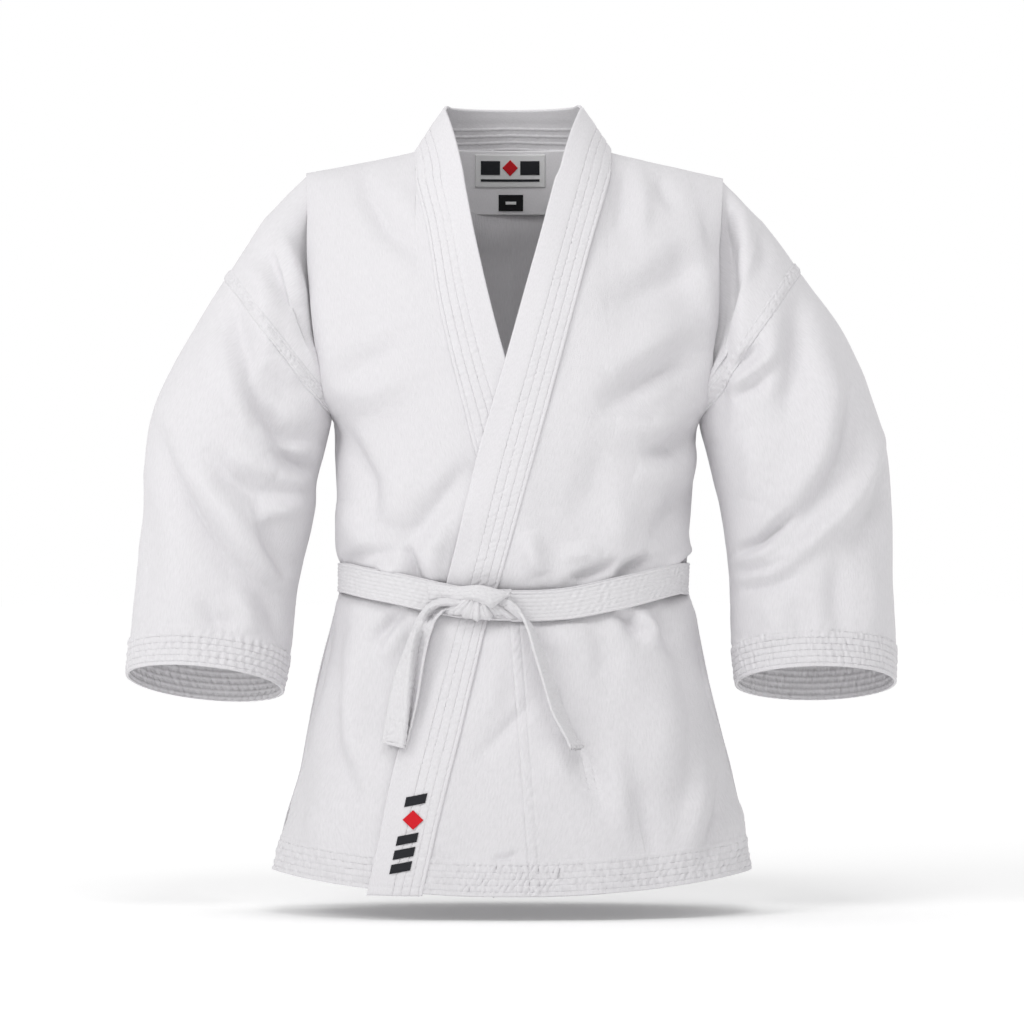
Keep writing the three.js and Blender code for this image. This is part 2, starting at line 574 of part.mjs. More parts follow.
for (const [name, points] of Object.entries(TAILS)) {
  const last = points.length - 1;
  const value = [0, 1, 2, 3].map((k) => curve(points.map((p, i) => [i, p[k]])));
  const place = (t, v, offset) => {
    const [x, y, z, degrees] = value.map((at) => at(t));
    const along = new THREE.Vector3(
      value[0](t + 0.05) - value[0](t - 0.05), 0, value[2](t + 0.05) - value[2](t - 0.05),
    ).normalize();
    const flat = new THREE.Vector3(-along.z, 0, along.x);
    const across = flat.multiplyScalar(Math.cos(rad(degrees)));
    across.y = -Math.sin(rad(degrees));
    const normal = new THREE.Vector3().crossVectors(along, across).normalize();
    const p = new THREE.Vector3(x, y, z).addScaledVector(across, BELT_WIDTH * (v - 0.5));
    return p.addScaledVector(normal, offset);
  };
  node(`${name}_belt_tail`, cloth(steps(0, last - 1.02, 14), 2, BELT_THICK, place), BELT_WHITE);
  node(`${name}_belt_tip`, cloth(steps(last - 1, last, 2), 2, BELT_THICK + 1, place), BELT_WHITE);
}

// Flat ties inside the overlap and under the belt, holding the fronts closed.
const frontStrap = (x0, x1, z0, depth) => (u, v, offset) =>
  bodyPoint(lerp(x0, x1, u), z0 + TIE_WIDTH * (v - 0.5), -1, offset + depth);
const TIE_Z = -446;
const innerTie = frontStrap(underInner(TIE_Z) + 2.4, 114, TIE_Z, 1.2);
node("inner_tie_front", cloth(steps(0, 1, 3), 1, TIE_THICK, innerTie));
node("inner_tie_side", cloth(steps(0, 1, 4), 1, TIE_THICK, frontStrap(116, 170, TIE_Z, -1.6)));
const outerTie = frontStrap(overInner(TIE_Z) - 2.4, -172, TIE_Z, CLOTH / 2 + LAYER_GAP + 1);
node("outer_tie", cloth(steps(0, 1, 8), 1, TIE_THICK, outerTie));

// Embroidered mark near the lapel's end: three bars and a diamond on a thin backing.
const MARK_TOP_Z = -684;
const MARK_LENGTH = 66;
const MARK_WIDTH = 20;
const markPlace = (u, v, offset) => {
  const z = MARK_TOP_Z - MARK_LENGTH * u;
  const middle = lerp(overOuter(z), overInner(z), 0.52);
  const x = middle + MARK_WIDTH * (v - 0.5);
  const out = OVER_LAPEL + LAPEL_THICK / 2 + LAYER_GAP + LABEL_THICK / 2;
  return bodyPoint(x, z, -1, offset + out);
};
node("lapel_mark", cloth(steps(0, 1, 4), 2, LABEL_THICK, markPlace), CHARCOAL);

export default group;
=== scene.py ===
"""Martial arts jacket with its tied belt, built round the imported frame.

Lengths are in mm until a mesh is made.
"""
import math

import bpy
import numpy as np
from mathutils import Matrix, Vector


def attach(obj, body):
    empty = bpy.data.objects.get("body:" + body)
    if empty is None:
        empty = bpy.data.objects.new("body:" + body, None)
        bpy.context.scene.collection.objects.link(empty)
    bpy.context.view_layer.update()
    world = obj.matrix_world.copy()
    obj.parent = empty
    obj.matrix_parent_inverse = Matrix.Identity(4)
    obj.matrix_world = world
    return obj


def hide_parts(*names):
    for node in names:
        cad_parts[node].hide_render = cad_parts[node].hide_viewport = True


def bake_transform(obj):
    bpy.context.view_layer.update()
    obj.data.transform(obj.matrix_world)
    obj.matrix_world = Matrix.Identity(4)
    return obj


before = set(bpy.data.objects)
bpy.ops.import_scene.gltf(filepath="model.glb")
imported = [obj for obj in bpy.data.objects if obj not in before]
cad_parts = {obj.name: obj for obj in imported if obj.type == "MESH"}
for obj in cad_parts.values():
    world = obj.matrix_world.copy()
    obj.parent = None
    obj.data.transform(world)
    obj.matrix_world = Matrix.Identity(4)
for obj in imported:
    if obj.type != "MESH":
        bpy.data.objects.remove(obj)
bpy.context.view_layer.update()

# --- camera -----------------------------------------------------------------------------------
CAMERA_AWAY = 6000.0
CAMERA_Z = -377.0
FRAME_WIDTH = 1075.2
camera_data = bpy.data.cameras.new("camera")
camera = bpy.data.objects.new("camera", camera_data)
bpy.context.scene.collection.objects.link(camera)
camera_data.sensor_width = 36
camera_data.lens = 36 * CAMERA_AWAY / FRAME_WIDTH
camera_data.clip_end = 100
camera.location = (0, -CAMERA_AWAY / 1000, CAMERA_Z / 1000)
camera.rotation_euler = (math.radians(90), 0, 0)
bpy.context.scene.camera = camera


# --- small helpers ----------------------------------------------------------------------------
def lerp(a, b, t):
    return a + (b - a) * t


def ease(t):
    c = np.clip(t, 0, 1)
    return c * c * (3 - 2 * c)


def hump(distance, width):
    return np.exp(-((distance / width) ** 2))


def run_along(line):
    """Length from the start to each point of a line."""
    return np.concatenate([[0], np.cumsum(np.linalg.norm(np.diff(line, axis=0), axis=1))])


def uv_of(a, b):
    """Two coordinates in mm as uv in metres."""
    return np.stack(np.broadcast_arrays(a / 1000, b / 1000), -1)


def curve(pairs):
    """A smooth function through (position, value) pairs with rising positions."""
    x = np.array([p[0] for p in pairs], float)
    y = np.array([p[1] for p in pairs], float)
    before = np.maximum(np.arange(len(x)) - 1, 0)
    after = np.minimum(np.arange(len(x)) + 1, len(x) - 1)
    slope = (y[after] - y[before]) / (x[after] - x[before])

    def at(p):
        p = np.clip(np.asarray(p, float), x[0], x[-1])
        i = np.clip(np.searchsorted(x, p, side="right") - 1, 0, len(x) - 2)
        h = x[i + 1] - x[i]
        t = (p - x[i]) / h
        t2, t3 = t * t, t * t * t
        return (
            (2 * t3 - 3 * t2 + 1) * y[i]
            + (t3 - 2 * t2 + t) * h * slope[i]
            + (3 * t2 - 2 * t3) * y[i + 1]
            + (t3 - t2) * h * slope[i + 1]
        )

    return at


def waves(seed, count, shortest, longest, tall=1.0):
    """A smooth random field of two coordinates in mm, about -1 to 1; tall stretches it along the second."""
    rng = np.random.default_rng(seed)
    length = np.exp(rng.uniform(math.log(shortest), math.log(longest), count))
    angle = rng.uniform(0, 2 * math.pi, count)
    phase = rng.uniform(0, 2 * math.pi, count)
    weight = length / length.max()
    weight = weight / math.sqrt((weight**2).sum() / 2)

    def at(a, b):
        total = 0
        for k in range(count):
            w = 2 * math.pi / length[k]
            total = total + weight[k] * np.sin(
                w * (a * math.cos(angle[k]) + b / tall * math.sin(angle[k])) + phase[k]
            )
        return total * 0.7

    return at


# --- body surface -----------------------------------------------------------------------------
ARMPIT_Z = -278.0
NECKLINE_Z = 8.5
VENT_TOP_Z = -674.0
HALF = {
    -1: curve([(-790, 256), (-754, 250), (-706, 240), (-651, 223), (-610, 215), (-558, 205),
               (-520, 196), (-495, 189), (-461, 181), (-427, 179), (-377, 182), (-320, 185),
               (-278, 187), (-240, 203), (-200, 214), (-150, 222), (-100, 227), (-34, 233), (60, 238)]),
    1: curve([(-790, 256), (-754, 251), (-706, 243), (-651, 230), (-610, 220), (-558, 207),
              (-520, 199), (-495, 194), (-461, 185), (-427, 183), (-377, 187), (-320, 191),
              (-278, 195), (-240, 207), (-200, 217), (-150, 226), (-100, 231), (-34, 238), (60, 242)]),
}
EDGE = {
    -1: curve([(-278, 187), (-240, 189.5), (-212, 194), (-154, 201.5), (-100, 208), (-34, 215), (60, 218)]),
    1: curve([(-278, 195), (-240, 197), (-200, 203), (-154, 206), (-100, 212), (-34, 221), (60, 224)]),
}
FRONT_DEPTH = curve([(-790, 158), (-706, 146), (-610, 133), (-520, 121), (-461, 113), (-427, 114),
                     (-377, 117), (-278, 121), (-200, 124), (-100, 121), (0, 114), (50, 108)])
BACK_DEPTH = curve([(-790, 140), (-706, 130), (-610, 120), (-520, 110), (-461, 102), (-427, 101),
                    (-377, 105), (-278, 112), (-200, 118), (-100, 114), (0, 100), (50, 88)])
NECK_ROUND, NECK_BASE, NECK_HALF, COLLAR_TOP = 40.0, 99.0, 69.0, 45.0
NECK_RADIUS = math.hypot(NECK_BASE, NECK_ROUND)
NECK_SLOPE = COLLAR_TOP / (NECK_RADIUS - math.hypot(NECK_HALF, NECK_ROUND))


def half_width(x, z):
    return np.where(x < 0, HALF[-1](z), HALF[1](z))


def ridge(x):
    r = np.hypot(x, NECK_ROUND)
    fall = np.where(x < 0, 0.19, 0.225)
    return np.where(r < NECK_RADIUS, NECK_SLOPE * (NECK_RADIUS - r), -fall * (np.abs(x) - NECK_BASE))


def arch(x, z):
    return np.clip((z - ARMPIT_Z) / (ridge(x) - ARMPIT_Z), 0, 1)


def angle_at(x, z):
    return np.degrees(np.arcsin(arch(x, z)))


def body(x, z, front):
    """A point of the body's surface at x and z, in front (-1) or behind (1)."""
    depth = FRONT_DEPTH(z) if front < 0 else BACK_DEPTH(z)
    across = np.clip(1 - np.abs(x / half_width(x, z)) ** 2.5, 0, 1)
    y = front * depth * np.sqrt(across * (1 - arch(x, z) ** 2))
    return np.stack(np.broadcast_arrays(x, y, z), -1)


def over_shoulder(x, degrees):
    """A point of the body by its angle over the shoulder: 0 is the armpit level in front, 180 behind."""
    sine, cosine = np.sin(np.radians(degrees)), np.cos(np.radians(degrees))
    z = ARMPIT_Z + (ridge(x) - ARMPIT_Z) * sine
    depth = np.where(cosine > 0, FRONT_DEPTH(z), BACK_DEPTH(z))
    across = np.clip(1 - np.abs(x / half_width(x, z)) ** 2.5, 0, 1)
    y = -depth * np.sqrt(across) * cosine
    return np.stack(np.broadcast_arrays(x, y, z), -1)


# --- meshes -----------------------------------------------------------------------------------
def normals(p, wrap=False):
    """Unit normals of a grid of points, all to one side."""
    if wrap:
        across = np.roll(p, -1, 1) - np.roll(p, 1, 1)
    else:
        across = np.gradient(p, axis=1)
    n = np.cross(np.gradient(p, axis=0), across)
    return n / np.maximum(np.linalg.norm(n, axis=-1, keepdims=True), 1e-9)


def facing(p, n, centre):
    """The normals turned, as one, to point away from centre (x, y)."""
    away = p[..., :2] - np.array(centre)
    return n if (away * n[..., :2]).sum() > 0 else -n


def matching(n, like):
    """The normals turned, as one, to point the way of like."""
    return n if (n * like).sum() > 0 else -n


def grid_object(name, middle, n, thick, uv, wrap=False):
    """A closed cloth piece: middle points, unit normals and thickness in mm, uv in metres."""
    rows, cols = middle.shape[:2]
    thick = np.broadcast_to(thick, (rows, cols))[..., None]
    points = np.concatenate([
        (middle + n * thick / 2).reshape(-1, 3),
        (middle - n * thick / 2).reshape(-1, 3),
    ]) / 1000
    number = np.arange(rows * cols).reshape(rows, cols)
    a = number if wrap else number[:, :-1]
    b = np.roll(number, -1, 1) if wrap else number[:, 1:]
    outer = np.stack([a[:-1], b[:-1], b[1:], a[1:]], -1).reshape(-1, 4)
    count = rows * cols
    sets = [outer, outer[:, ::-1] + count]
    sets.append(np.stack([b[0], a[0], a[0] + count, b[0] + count], -1))
    sets.append(np.stack([a[-1], b[-1], b[-1] + count, a[-1] + count], -1))
    if not wrap:
        left, right = number[:, 0], number[:, -1]
        sets.append(np.stack([left[:-1], left[1:], left[1:] + count, left[:-1] + count], -1))
        sets.append(np.stack([right[1:], right[:-1], right[:-1] + count, right[1:] + count], -1))
    quads = np.concatenate(sets)
    p0, p1, p2 = (points[outer[:, k]] for k in (0, 1, 2))
    turned = (np.cross(p1 - p0, p2 - p0) * n.reshape(-1, 3)[outer[:, 0]]).sum() < 0
    if turned:
        quads = quads[:, ::-1]
    mesh = bpy.data.meshes.new(name)
    mesh.vertices.add(len(points))
    mesh.vertices.foreach_set("co", points.ravel())
    mesh.loops.add(quads.size)
    mesh.loops.foreach_set("vertex_index", quads.ravel().astype(np.int32))
    mesh.polygons.add(len(quads))
    mesh.polygons.foreach_set("loop_start", np.arange(0, quads.size, 4, dtype=np.int32))
    mesh.polygons.foreach_set("use_smooth", np.ones(len(quads), bool))
    mesh.update(calc_edges=True)
    mesh.validate()
    flat = np.concatenate([uv.reshape(-1, 2), uv.reshape(-1, 2)])
    layer = mesh.uv_layers.new(name="UVMap")
    layer.data.foreach_set("uv", flat[quads.ravel()].ravel())
    made = bpy.data.objects.new(name, mesh)
    bpy.context.scene.collection.objects.link(made)
    return made


def arc_uv(p):
    """Lengths in metres along the columns and rows of a grid, from its middle row and column."""
    mid_row, mid_col = p[p.shape[0] // 2], p[:, p.shape[1] // 2]
    u = run_along(mid_row)
    v = run_along(mid_col)
    return np.stack(np.meshgrid(u, v), -1) / 1000


# --- folds and stitching ----------------------------------------------------------------------
def creases(x, z, strokes):
    """Height in mm of folds: each stroke is (points, height, width one side, width other side)."""
    total = np.zeros(np.broadcast(x, z).shape)
    for points, height, w_left, w_right in strokes:
        pts = np.array(points, float)
        lengths = np.linalg.norm(np.diff(pts, axis=0), axis=1)
        starts = np.concatenate([[0], np.cumsum(lengths)])
        best = np.full(total.shape, 1e9)
        value = np.zeros(total.shape)
        for k in range(len(pts) - 1):
            d = (pts[k + 1] - pts[k]) / max(lengths[k], 1e-6)
            rx, rz = x - pts[k, 0], z - pts[k, 1]
            along = np.clip(rx * d[0] + rz * d[1], 0, lengths[k])
            ox, oz = rx - along * d[0], rz - along * d[1]
            distance = np.hypot(ox, oz)
            side = d[0] * rz - d[1] * rx
            width = np.where(side > 0, w_left, w_right)
            s = (starts[k] + along) / starts[-1]
            fade = np.sin(np.pi * np.clip(s * 0.94 + 0.03, 0, 1)) ** 0.8
            here = fade * hump(distance, width)
            closer = distance < best
            value = np.where(closer, here, value)
            best = np.minimum(best, distance)
        total += height * value
    return total


def stitch_rows(u, v, rows, seed, pucker, groove):
    """Height in mm of stitched cloth: u runs along the rows, v across them, both in mm."""
    rng = np.random.default_rng(seed)
    total = np.zeros(np.broadcast(u, v).shape)
    for r in rows:
        beat = 0.8 + 0.2 * np.cos(2 * np.pi * u / 3.4 + rng.uniform(0, 6))
        total -= groove * beat * hump(v - r, 1.0)
    if not rows:
        return total
    edges = sorted(rows)
    span = max(edges) - min(edges) if len(edges) > 1 else 8
    inside = ease((v - min(edges) + 4) / 4) * ease((max(edges) + 4 - v) / 4)
    wobble = 0
    for k in range(7):
        length = rng.uniform(4.5, 13)
        lean = rng.uniform(-0.8, 0.8)
        phase = rng.uniform(0, 6)
        bend = 0.9 * np.sin(v / max(span, 1) * rng.uniform(3, 9))
        wobble = wobble + np.sin(2 * np.pi * (u + lean * v) / length + phase + bend)
    return total + pucker * inside * wobble / 3.2


def rounded(distance, thick, radius):
    """Thickness in mm at a distance from the piece's edge, falling off within radius."""
    d = np.clip(distance / radius, 0, 1)
    return thick * np.sqrt(np.clip(1 - (1 - d) ** 2, 0.04, 1))


# --- materials --------------------------------------------------------------------------------
def fill(tree, node, inputs):
    """Sets a node's inputs: a socket is linked, and anything else is a value."""
    for key, value in inputs.items():
        if isinstance(value, bpy.types.NodeSocket):
            tree.links.new(value, node.inputs[key])
        else:
            node.inputs[key].default_value = value


def add_node(tree, kind, inputs, operation=None):
    made = tree.nodes.new("ShaderNode" + kind)
    if operation:
        made.operation = operation
    fill(tree, made, inputs)
    return made


def cloth_material(name, colour, rib=0.0013, slub=0.009, strength=0.7, depth=0.0006):
    """Woven cloth: fine uneven ribs along the cloth's length, in uv metres."""
    made = bpy.data.materials.new(name)
    made.use_nodes = True
    tree = made.node_tree
    shader = tree.nodes["Principled BSDF"]
    where = add_node(tree, "TexCoord", {}).outputs["UV"]
    stretch = add_node(tree, "Mapping", {"Scale": (1 / rib, 1 / slub, 1), "Vector": where})
    ribs = add_node(tree, "TexNoise", {
        "Scale": 1.0, "Detail": 2.5, "Roughness": 0.6, "Vector": stretch.outputs["Vector"]})
    weft = add_node(tree, "Mapping", {"Scale": (1 / (slub * 0.5), 1 / (rib * 0.8), 1), "Vector": where})
    threads = add_node(tree, "TexNoise", {"Scale": 1.0, "Detail": 1.0, "Vector": weft.outputs["Vector"]})
    fainter = add_node(tree, "Math", {0: threads.outputs["Fac"], 1: 0.45}, "MULTIPLY")
    both = add_node(tree, "Math", {0: ribs.outputs["Fac"], 1: fainter.outputs[0]}, "ADD")
    bump = add_node(tree, "Bump", {"Strength": strength, "Distance": depth, "Height": both.outputs[0]})
    tone = add_node(tree, "ValToRGB", {"Fac": ribs.outputs["Fac"]})
    dark, light = tone.color_ramp.elements[0], tone.color_ramp.elements[1]
    dark.position, light.position = 0.3, 0.62
    dark.color, light.color = (*[c * 0.93 for c in colour], 1), (*colour, 1)
    fill(tree, shader, {
        "Roughness": 0.92, "Specular IOR Level": 0.25, "Sheen Weight": 0.12, "Sheen Roughness": 0.5,
        "Normal": bump.outputs["Normal"], "Base Color": tone.outputs["Color"]})
    return made


WHITE = (0.715, 0.703, 0.722)
CANVAS = cloth_material("canvas", WHITE)
BAND = cloth_material("quilted_band", (0.725, 0.713, 0.732), rib=0.0011, slub=0.004, strength=0.35)
BELT = cloth_material("belt_cotton", (0.70, 0.69, 0.706), rib=0.0011, slub=0.005, strength=0.35)
LINING = cloth_material("lining", (0.86, 0.848, 0.865), rib=0.0006, slub=0.003, strength=0.2, depth=0.0003)
LABEL = cloth_material("label", (0.82, 0.82, 0.82), rib=0.0004, slub=0.001, strength=0.15, depth=0.0002)
BLACK = cloth_material(
    "black_weave", (0.012, 0.012, 0.014), rib=0.0005, slub=0.0015, strength=0.3, depth=0.0003)
CHARCOAL = cloth_material("charcoal_thread", (0.02, 0.021, 0.025), rib=0.0005, slub=0.004, strength=0.5)
RED = cloth_material("red_thread", (0.62, 0.012, 0.02), rib=0.0005, slub=0.004, strength=0.5)


def finish_piece(made, material, replaced=(), body=None, between=None):
    """Material, slot, replaced nodes and body of a piece."""
    made.data.materials.append(material)
    if replaced:
        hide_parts(*replaced)
    if between:
        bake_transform(made)
    elif body:
        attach(made, body)


FRONT_BEND = ("jacket", "front_skirt", (0, -0.15, -0.634), (0, -0.15, -0.714))
BACK_BEND = ("jacket", "back_skirt", (0, 0.13, -0.634), (0, 0.13, -0.714))
sewn_on = {}  # small pieces that go with a sheet

# --- lapel edges, by height -------------------------------------------------------------------
OVER_OUTER = curve([(-790, -95), (-735, -83), (-674, -69), (-611, -53.5), (-489, -25), (-461, -16),
                    (-315, 24), (-217, 50.4), (-185, 58.8), (-110, 78), (-34, 97.6), (-3, 101.5), (20, 104)])
OVER_INNER = curve([(-790, -151), (-735, -138.6), (-630, -116.5), (-444, -65), (-319, -35.7),
                    (-217, -6.3), (-100, 26), (3, 53), (45, 69)])
UNDER_OUTER = curve([(-790, 94), (-611, 53.5), (-489, 25), (-461, 17), (-317, -37), (-270, -49),
                     (-212, -64), (-158, -75.6), (-79, -88), (-30, -100), (-3, -103), (20, -105)])
UNDER_INNER = curve([(-790, 151), (-630, 116.5), (-444, 65), (-319, 28), (-215, -7.4), (-100, -36),
                     (24, -60), (45, -69)])
EXTENSION_SEAM = curve([(-790, 22), (-777, 20), (-490, -2), (-440, -8)])
BELT_LINE = curve([(-200, -446), (-150, -452), (-90, -464), (-50, -471), (0, -474), (50, -472), (110, -463),
                   (185, -446)])


def over_lift(x, z):
    """How far the over front lies outside the under front, coming flush at its side seam."""
    angle = np.degrees(np.arcsin(np.clip(x / half_width(x, z), -1, 1)))
    return 3.4 * ease((82 - angle) / 38) * ease((-60 - z) / 120)


# --- folds of the fronts, in x and z ----------------------------------------------------------
# Each fold: points along it, height, width on its left and right going along.
CHEST_FOLDS = [
    # wearer's right chest
    ([(-158, -13), (-149, -49), (-126, -87), (-84, -119)], -4.5, 12, 12),
    ([(-126, -34), (-105, -65), (-88, -87)], 2.5, 14, 14),
    ([(-113, -202), (-147, -219), (-178, -243)], -4, 16, 14),
    ([(-183, -251), (-147, -254), (-97, -230)], 3, 16, 16),
    ([(-181, -286), (-162, -318), (-147, -345), (-141, -385)], -6, 9, 15),
    ([(-168, -364), (-164, -394), (-147, -413)], 4.5, 14, 14),
    ([(-40, -324), (-69, -360), (-92, -392), (-120, -415)], -7, 16, 13),
    ([(-113, -329), (-118, -364), (-126, -390)], 4, 18, 16),
    ([(-109, -412), (-101, -429), (-94, -450)], -8, 6, 8),
    ([(-71, -381), (-82, -419), (-76, -453)], 6, 13, 12),
    ([(-174, -427), (-143, -421), (-113, -419)], -4, 8, 7),
    ([(-139, -434), (-122, -440), (-116, -453)], 4, 8, 8),
    ([(-191, -154), (-181, -207), (-176, -259)], 3.5, 14, 12),
    # wearer's left chest
    ([(202, -203), (160, -230), (118, -257), (90, -274)], -9, 9, 17),
    ([(191, -173), (139, -203), (94, -230)], 5, 16, 20),
    ([(204, -110), (172, -135), (130, -154), (92, -167)], -5.5, 15, 18),
    ([(197, -79), (155, -102), (113, -125)], 4, 18, 18),
    ([(105, -285), (141, -289), (187, -268)], 4.5, 14, 13),
    ([(191, -289), (164, -310), (130, -318)], -7, 12, 12),
    ([(126, -333), (155, -341), (187, -329)], 3.5, 14, 14),
    ([(187, -348), (168, -377), (147, -406)], -6, 14, 13),
    ([(92, -301), (82, -354), (57, -385)], -3.5, 18, 18),
    ([(113, -364), (109, -396), (92, -415)], 3.5, 18, 16),
    ([(59, -448), (84, -438), (109, -427)], -7, 6, 9),
    ([(15, -396), (21, -419), (29, -442)], 6.5, 13, 12),
    ([(105, -446), (122, -434), (145, -423)], -8, 7, 8),
    ([(134, -448), (160, -436), (187, -415)], 5.5, 6, 7),
    ([(50, -423), (76, -417), (92, -419)], 4, 9, 9),
    ([(170, -440), (181, -427), (187, -419)], -4, 5, 6),
    ([(118, -12), (113, -54), (109, -93)], -3.2, 9, 10),
    ([(151, -26), (160, -49), (172, -64)], -2.8, 10, 9),
    ([(134, -18), (136, -64), (134, -98)], 2.6, 10, 10),
    ([(187, -49), (191, -102), (197, -175)], 3.5, 10, 16),
]
SKIRT_FOLDS = [
    # wearer's right skirt
    ([(-109, -476), (-126, -490), (-143, -511)], -8, 9, 6),
    ([(-107, -492), (-122, -511), (-134, -532)], 4.5, 10, 9),
    ([(-174, -467), (-187, -522), (-190, -574), (-183, -621), (-158, -681)], -8, 11, 20),
    ([(-153, -486), (-166, -553), (-166, -606), (-145, -660)], 5, 16, 14),
    ([(-113, -511), (-120, -595), (-139, -679), (-164, -732)], 3.2, 24, 24),
    ([(-210, -648), (-223, -690), (-227, -732)], -3.5, 9, 12),
    ([(-202, -679), (-191, -721), (-181, -749)], 3, 14, 14),
    ([(-86, -522), (-92, -595), (-107, -669)], -3, 14, 14),
    ([(-80, -726), (-69, -734), (-52, -740)], -2, 5, 5),
    # wearer's left skirt
    ([(107, -478), (120, -488), (130, -507)], -9, 6, 9),
    ([(128, -482), (141, -497), (147, -518)], 7.5, 8, 7),
    ([(147, -476), (160, -492), (168, -526)], -6, 10, 9),
    ([(29, -492), (67, -511), (92, -537)], 4, 16, 18),
    ([(82, -486), (92, -522), (99, -574)], -3.5, 16, 14),
    ([(168, -474), (181, -532), (191, -591), (187, -648), (172, -686)], -9, 24, 16),
    ([(145, -553), (151, -606), (145, -669)], 4.5, 20, 22),
    ([(202, -612), (195, -669), (178, -730)], 6, 11, 12),
    ([(223, -639), (218, -686), (197, -734)], -7, 9, 8),
    ([(237, -679), (235, -711), (229, -738)], 3.5, 7, 7),
    ([(65, -614), (82, -650), (94, -692)], -4.5, 11, 12),
    ([(130, -654), (134, -692), (147, -728)], -4, 12, 12),
    ([(105, -616), (111, -669), (120, -719)], 3.5, 12, 14),
    ([(23, -568), (-6, -602), (-40, -635)], -4, 10, 8),
    ([(-13, -532), (-21, -574), (-44, -606)], 3, 12, 12),
    ([(8, -726), (-2, -731), (-19, -733)], -3, 4, 4),
    ([(46, -532), (52, -595), (48, -669)], 3, 18, 16),
]
soft = waves(3, 14, 50, 190, tall=2.2)
crumple = waves(5, 26, 16, 60, tall=1.5)
back_soft = waves(8, 14, 60, 220, tall=2.4)


def belt_pinch(x, z, front=True):
    """The belt presses the cloth in, most at the sides, and it blouses out above and below."""
    line = BELT_LINE(x) if front else -446.0
    d = z - line
    press = 4.5 + 5.5 * np.clip(np.abs(x) / 184, 0, 1) ** 6
    swell = 3.4 * hump(d - 32, 16) + 2.0 * hump(d + 36, 16)
    return swell - press * np.exp(-((d / 17) ** 4))


def front_relief(x, z):
    gather = hump(z - BELT_LINE(x), 60)
    return (
        1.75 * creases(x, z, CHEST_FOLDS) + 1.5 * creases(x, z, SKIRT_FOLDS)
        + 1.9 * soft(x, z) + (0.32 + 0.55 * gather) * crumple(x, z) + belt_pinch(x, z)
    )


def armhole_roll(x, z, s):
    """The body cloth stands proud at the armhole, more towards the armpit."""
    grow = ease((-30 - z) / 110) * ease((z + 292) / 40)
    return 9.0 * grow * hump(EDGE[s](z) - s * x, 20)


# --- fronts -----------------------------------------------------------------------------------
UNDER_BAND = 7  # how far a front runs in under its lapel
FRONT_VENT, BACK_VENT = 13, 12  # degrees that the side vents open at the hem
HEM_ROWS = [4.5, 11, 17.5, 24, 31]


def front_hem(x):
    return -771 + 21 * (np.abs(x) / 250) ** 2


def back_hem(x):
    return -766 + 14 * (np.abs(x) / 250) ** 2


def vent_spread(z, deepest):
    """Degrees short of the side line where a skirt's edge hangs, opening towards the hem."""
    return deepest * ease((VENT_TOP_Z - z) / 100)


def column_x(z, from_x, to_x, v, spread, s):
    """x across a front between two edges, even round the body; the side edge stays at the outline."""
    limit = np.radians(90 - spread)
    scale = HALF[s](z) / np.sin(limit)
    a = np.arcsin(np.clip(from_x / scale, -np.sin(limit), np.sin(limit)))
    b = np.arcsin(np.clip(to_x / scale, -1, 1))
    return scale * np.sin(lerp(a, b, v))


def make_front(s, name, outer, lift, columns):
    v = np.concatenate([np.linspace(0, 0.68, columns)[:-1], np.linspace(0.68, 0.9, 92)[:-1],
                        np.linspace(0.9, 1, 20)])[None, :]
    low_part = np.concatenate([np.linspace(0, 0.078, 60)[:-1], np.linspace(0.078, 1, 160)])[:, None]
    # below the armpit: rows from the hem up
    z = lerp(-770.0, ARMPIT_Z, low_part) + 0 * v
    for _ in range(12):
        x = column_x(z, s * HALF[s](z), outer(z) - s * UNDER_BAND, v, vent_spread(z, FRONT_VENT), s)
        z = lerp(front_hem(x), ARMPIT_Z, low_part)
    limit = np.sin(np.radians(90 - vent_spread(z, FRONT_VENT)))
    low_points = body(x * limit, z, -1)
    low_points[..., 0] = x
    # above it: rows by their angle over the shoulder, ending just behind the ridge
    degrees = np.concatenate([np.linspace(1, 80, 92), np.linspace(80.8, 97, 26)])[:, None]
    x2 = s * 150 + 0 * v + 0 * degrees
    for _ in range(40):
        z2 = ARMPIT_Z + (ridge(x2) - ARMPIT_Z) * np.sin(np.radians(degrees))
        x2 = column_x(z2, s * EDGE[s](z2), outer(z2) - s * UNDER_BAND, v, 0, s)
    high_points = over_shoulder(x2, degrees)
    points = np.concatenate([low_points, high_points])
    n = facing(points, normals(points), (s * 90, 60))
    px, pz = points[..., 0], points[..., 2]
    in_front = ease((points[..., 1] * -1 + 4) / 14)
    height = front_relief(px, pz) * in_front + armhole_roll(px, pz, s) + lift(px, pz)
    # stitched hem, vent edges and the seam of the front extension
    drop = pz - front_hem(px)
    height = height + np.where(drop < 40, stitch_rows(px, drop, HEM_ROWS, 21 + s, 0.95, 0.85), 0)
    from_edge = (s * HALF[s](pz) - px) * s
    vent = ease((VENT_TOP_Z + 12 - pz) / 8)
    height = height + vent * (stitch_rows(pz, from_edge, [1.2, 5.0], 31 + s, 0.35, 0.5) * (from_edge < 11))
    seam = px - s * EXTENSION_SEAM(pz)
    seamed = ease((-486 - pz) / 10)
    height = height + seamed * (
        1.4 * ease((s * seam + 0.8) / 1.6) * np.exp(-(np.clip(s * seam, 0, 200) / 14))
        - 1.1 * hump(seam, 1.2) - 0.8 * hump(seam - s * 9.5, 1.0)
        + (np.abs(seam - s * 4.5) < 9) * stitch_rows(pz, s * seam, [0.0, 9.5], 51 + s, 0.45, 0.0)
    )
    moved = points + n * height[..., None]
    n = facing(moved, normals(moved), (s * 90, 60))
    thick = 1.6 + 1.1 * ease((37 - drop) / 1.5)
    made = grid_object(name, moved, n, thick, arc_uv(points))
    return made, moved


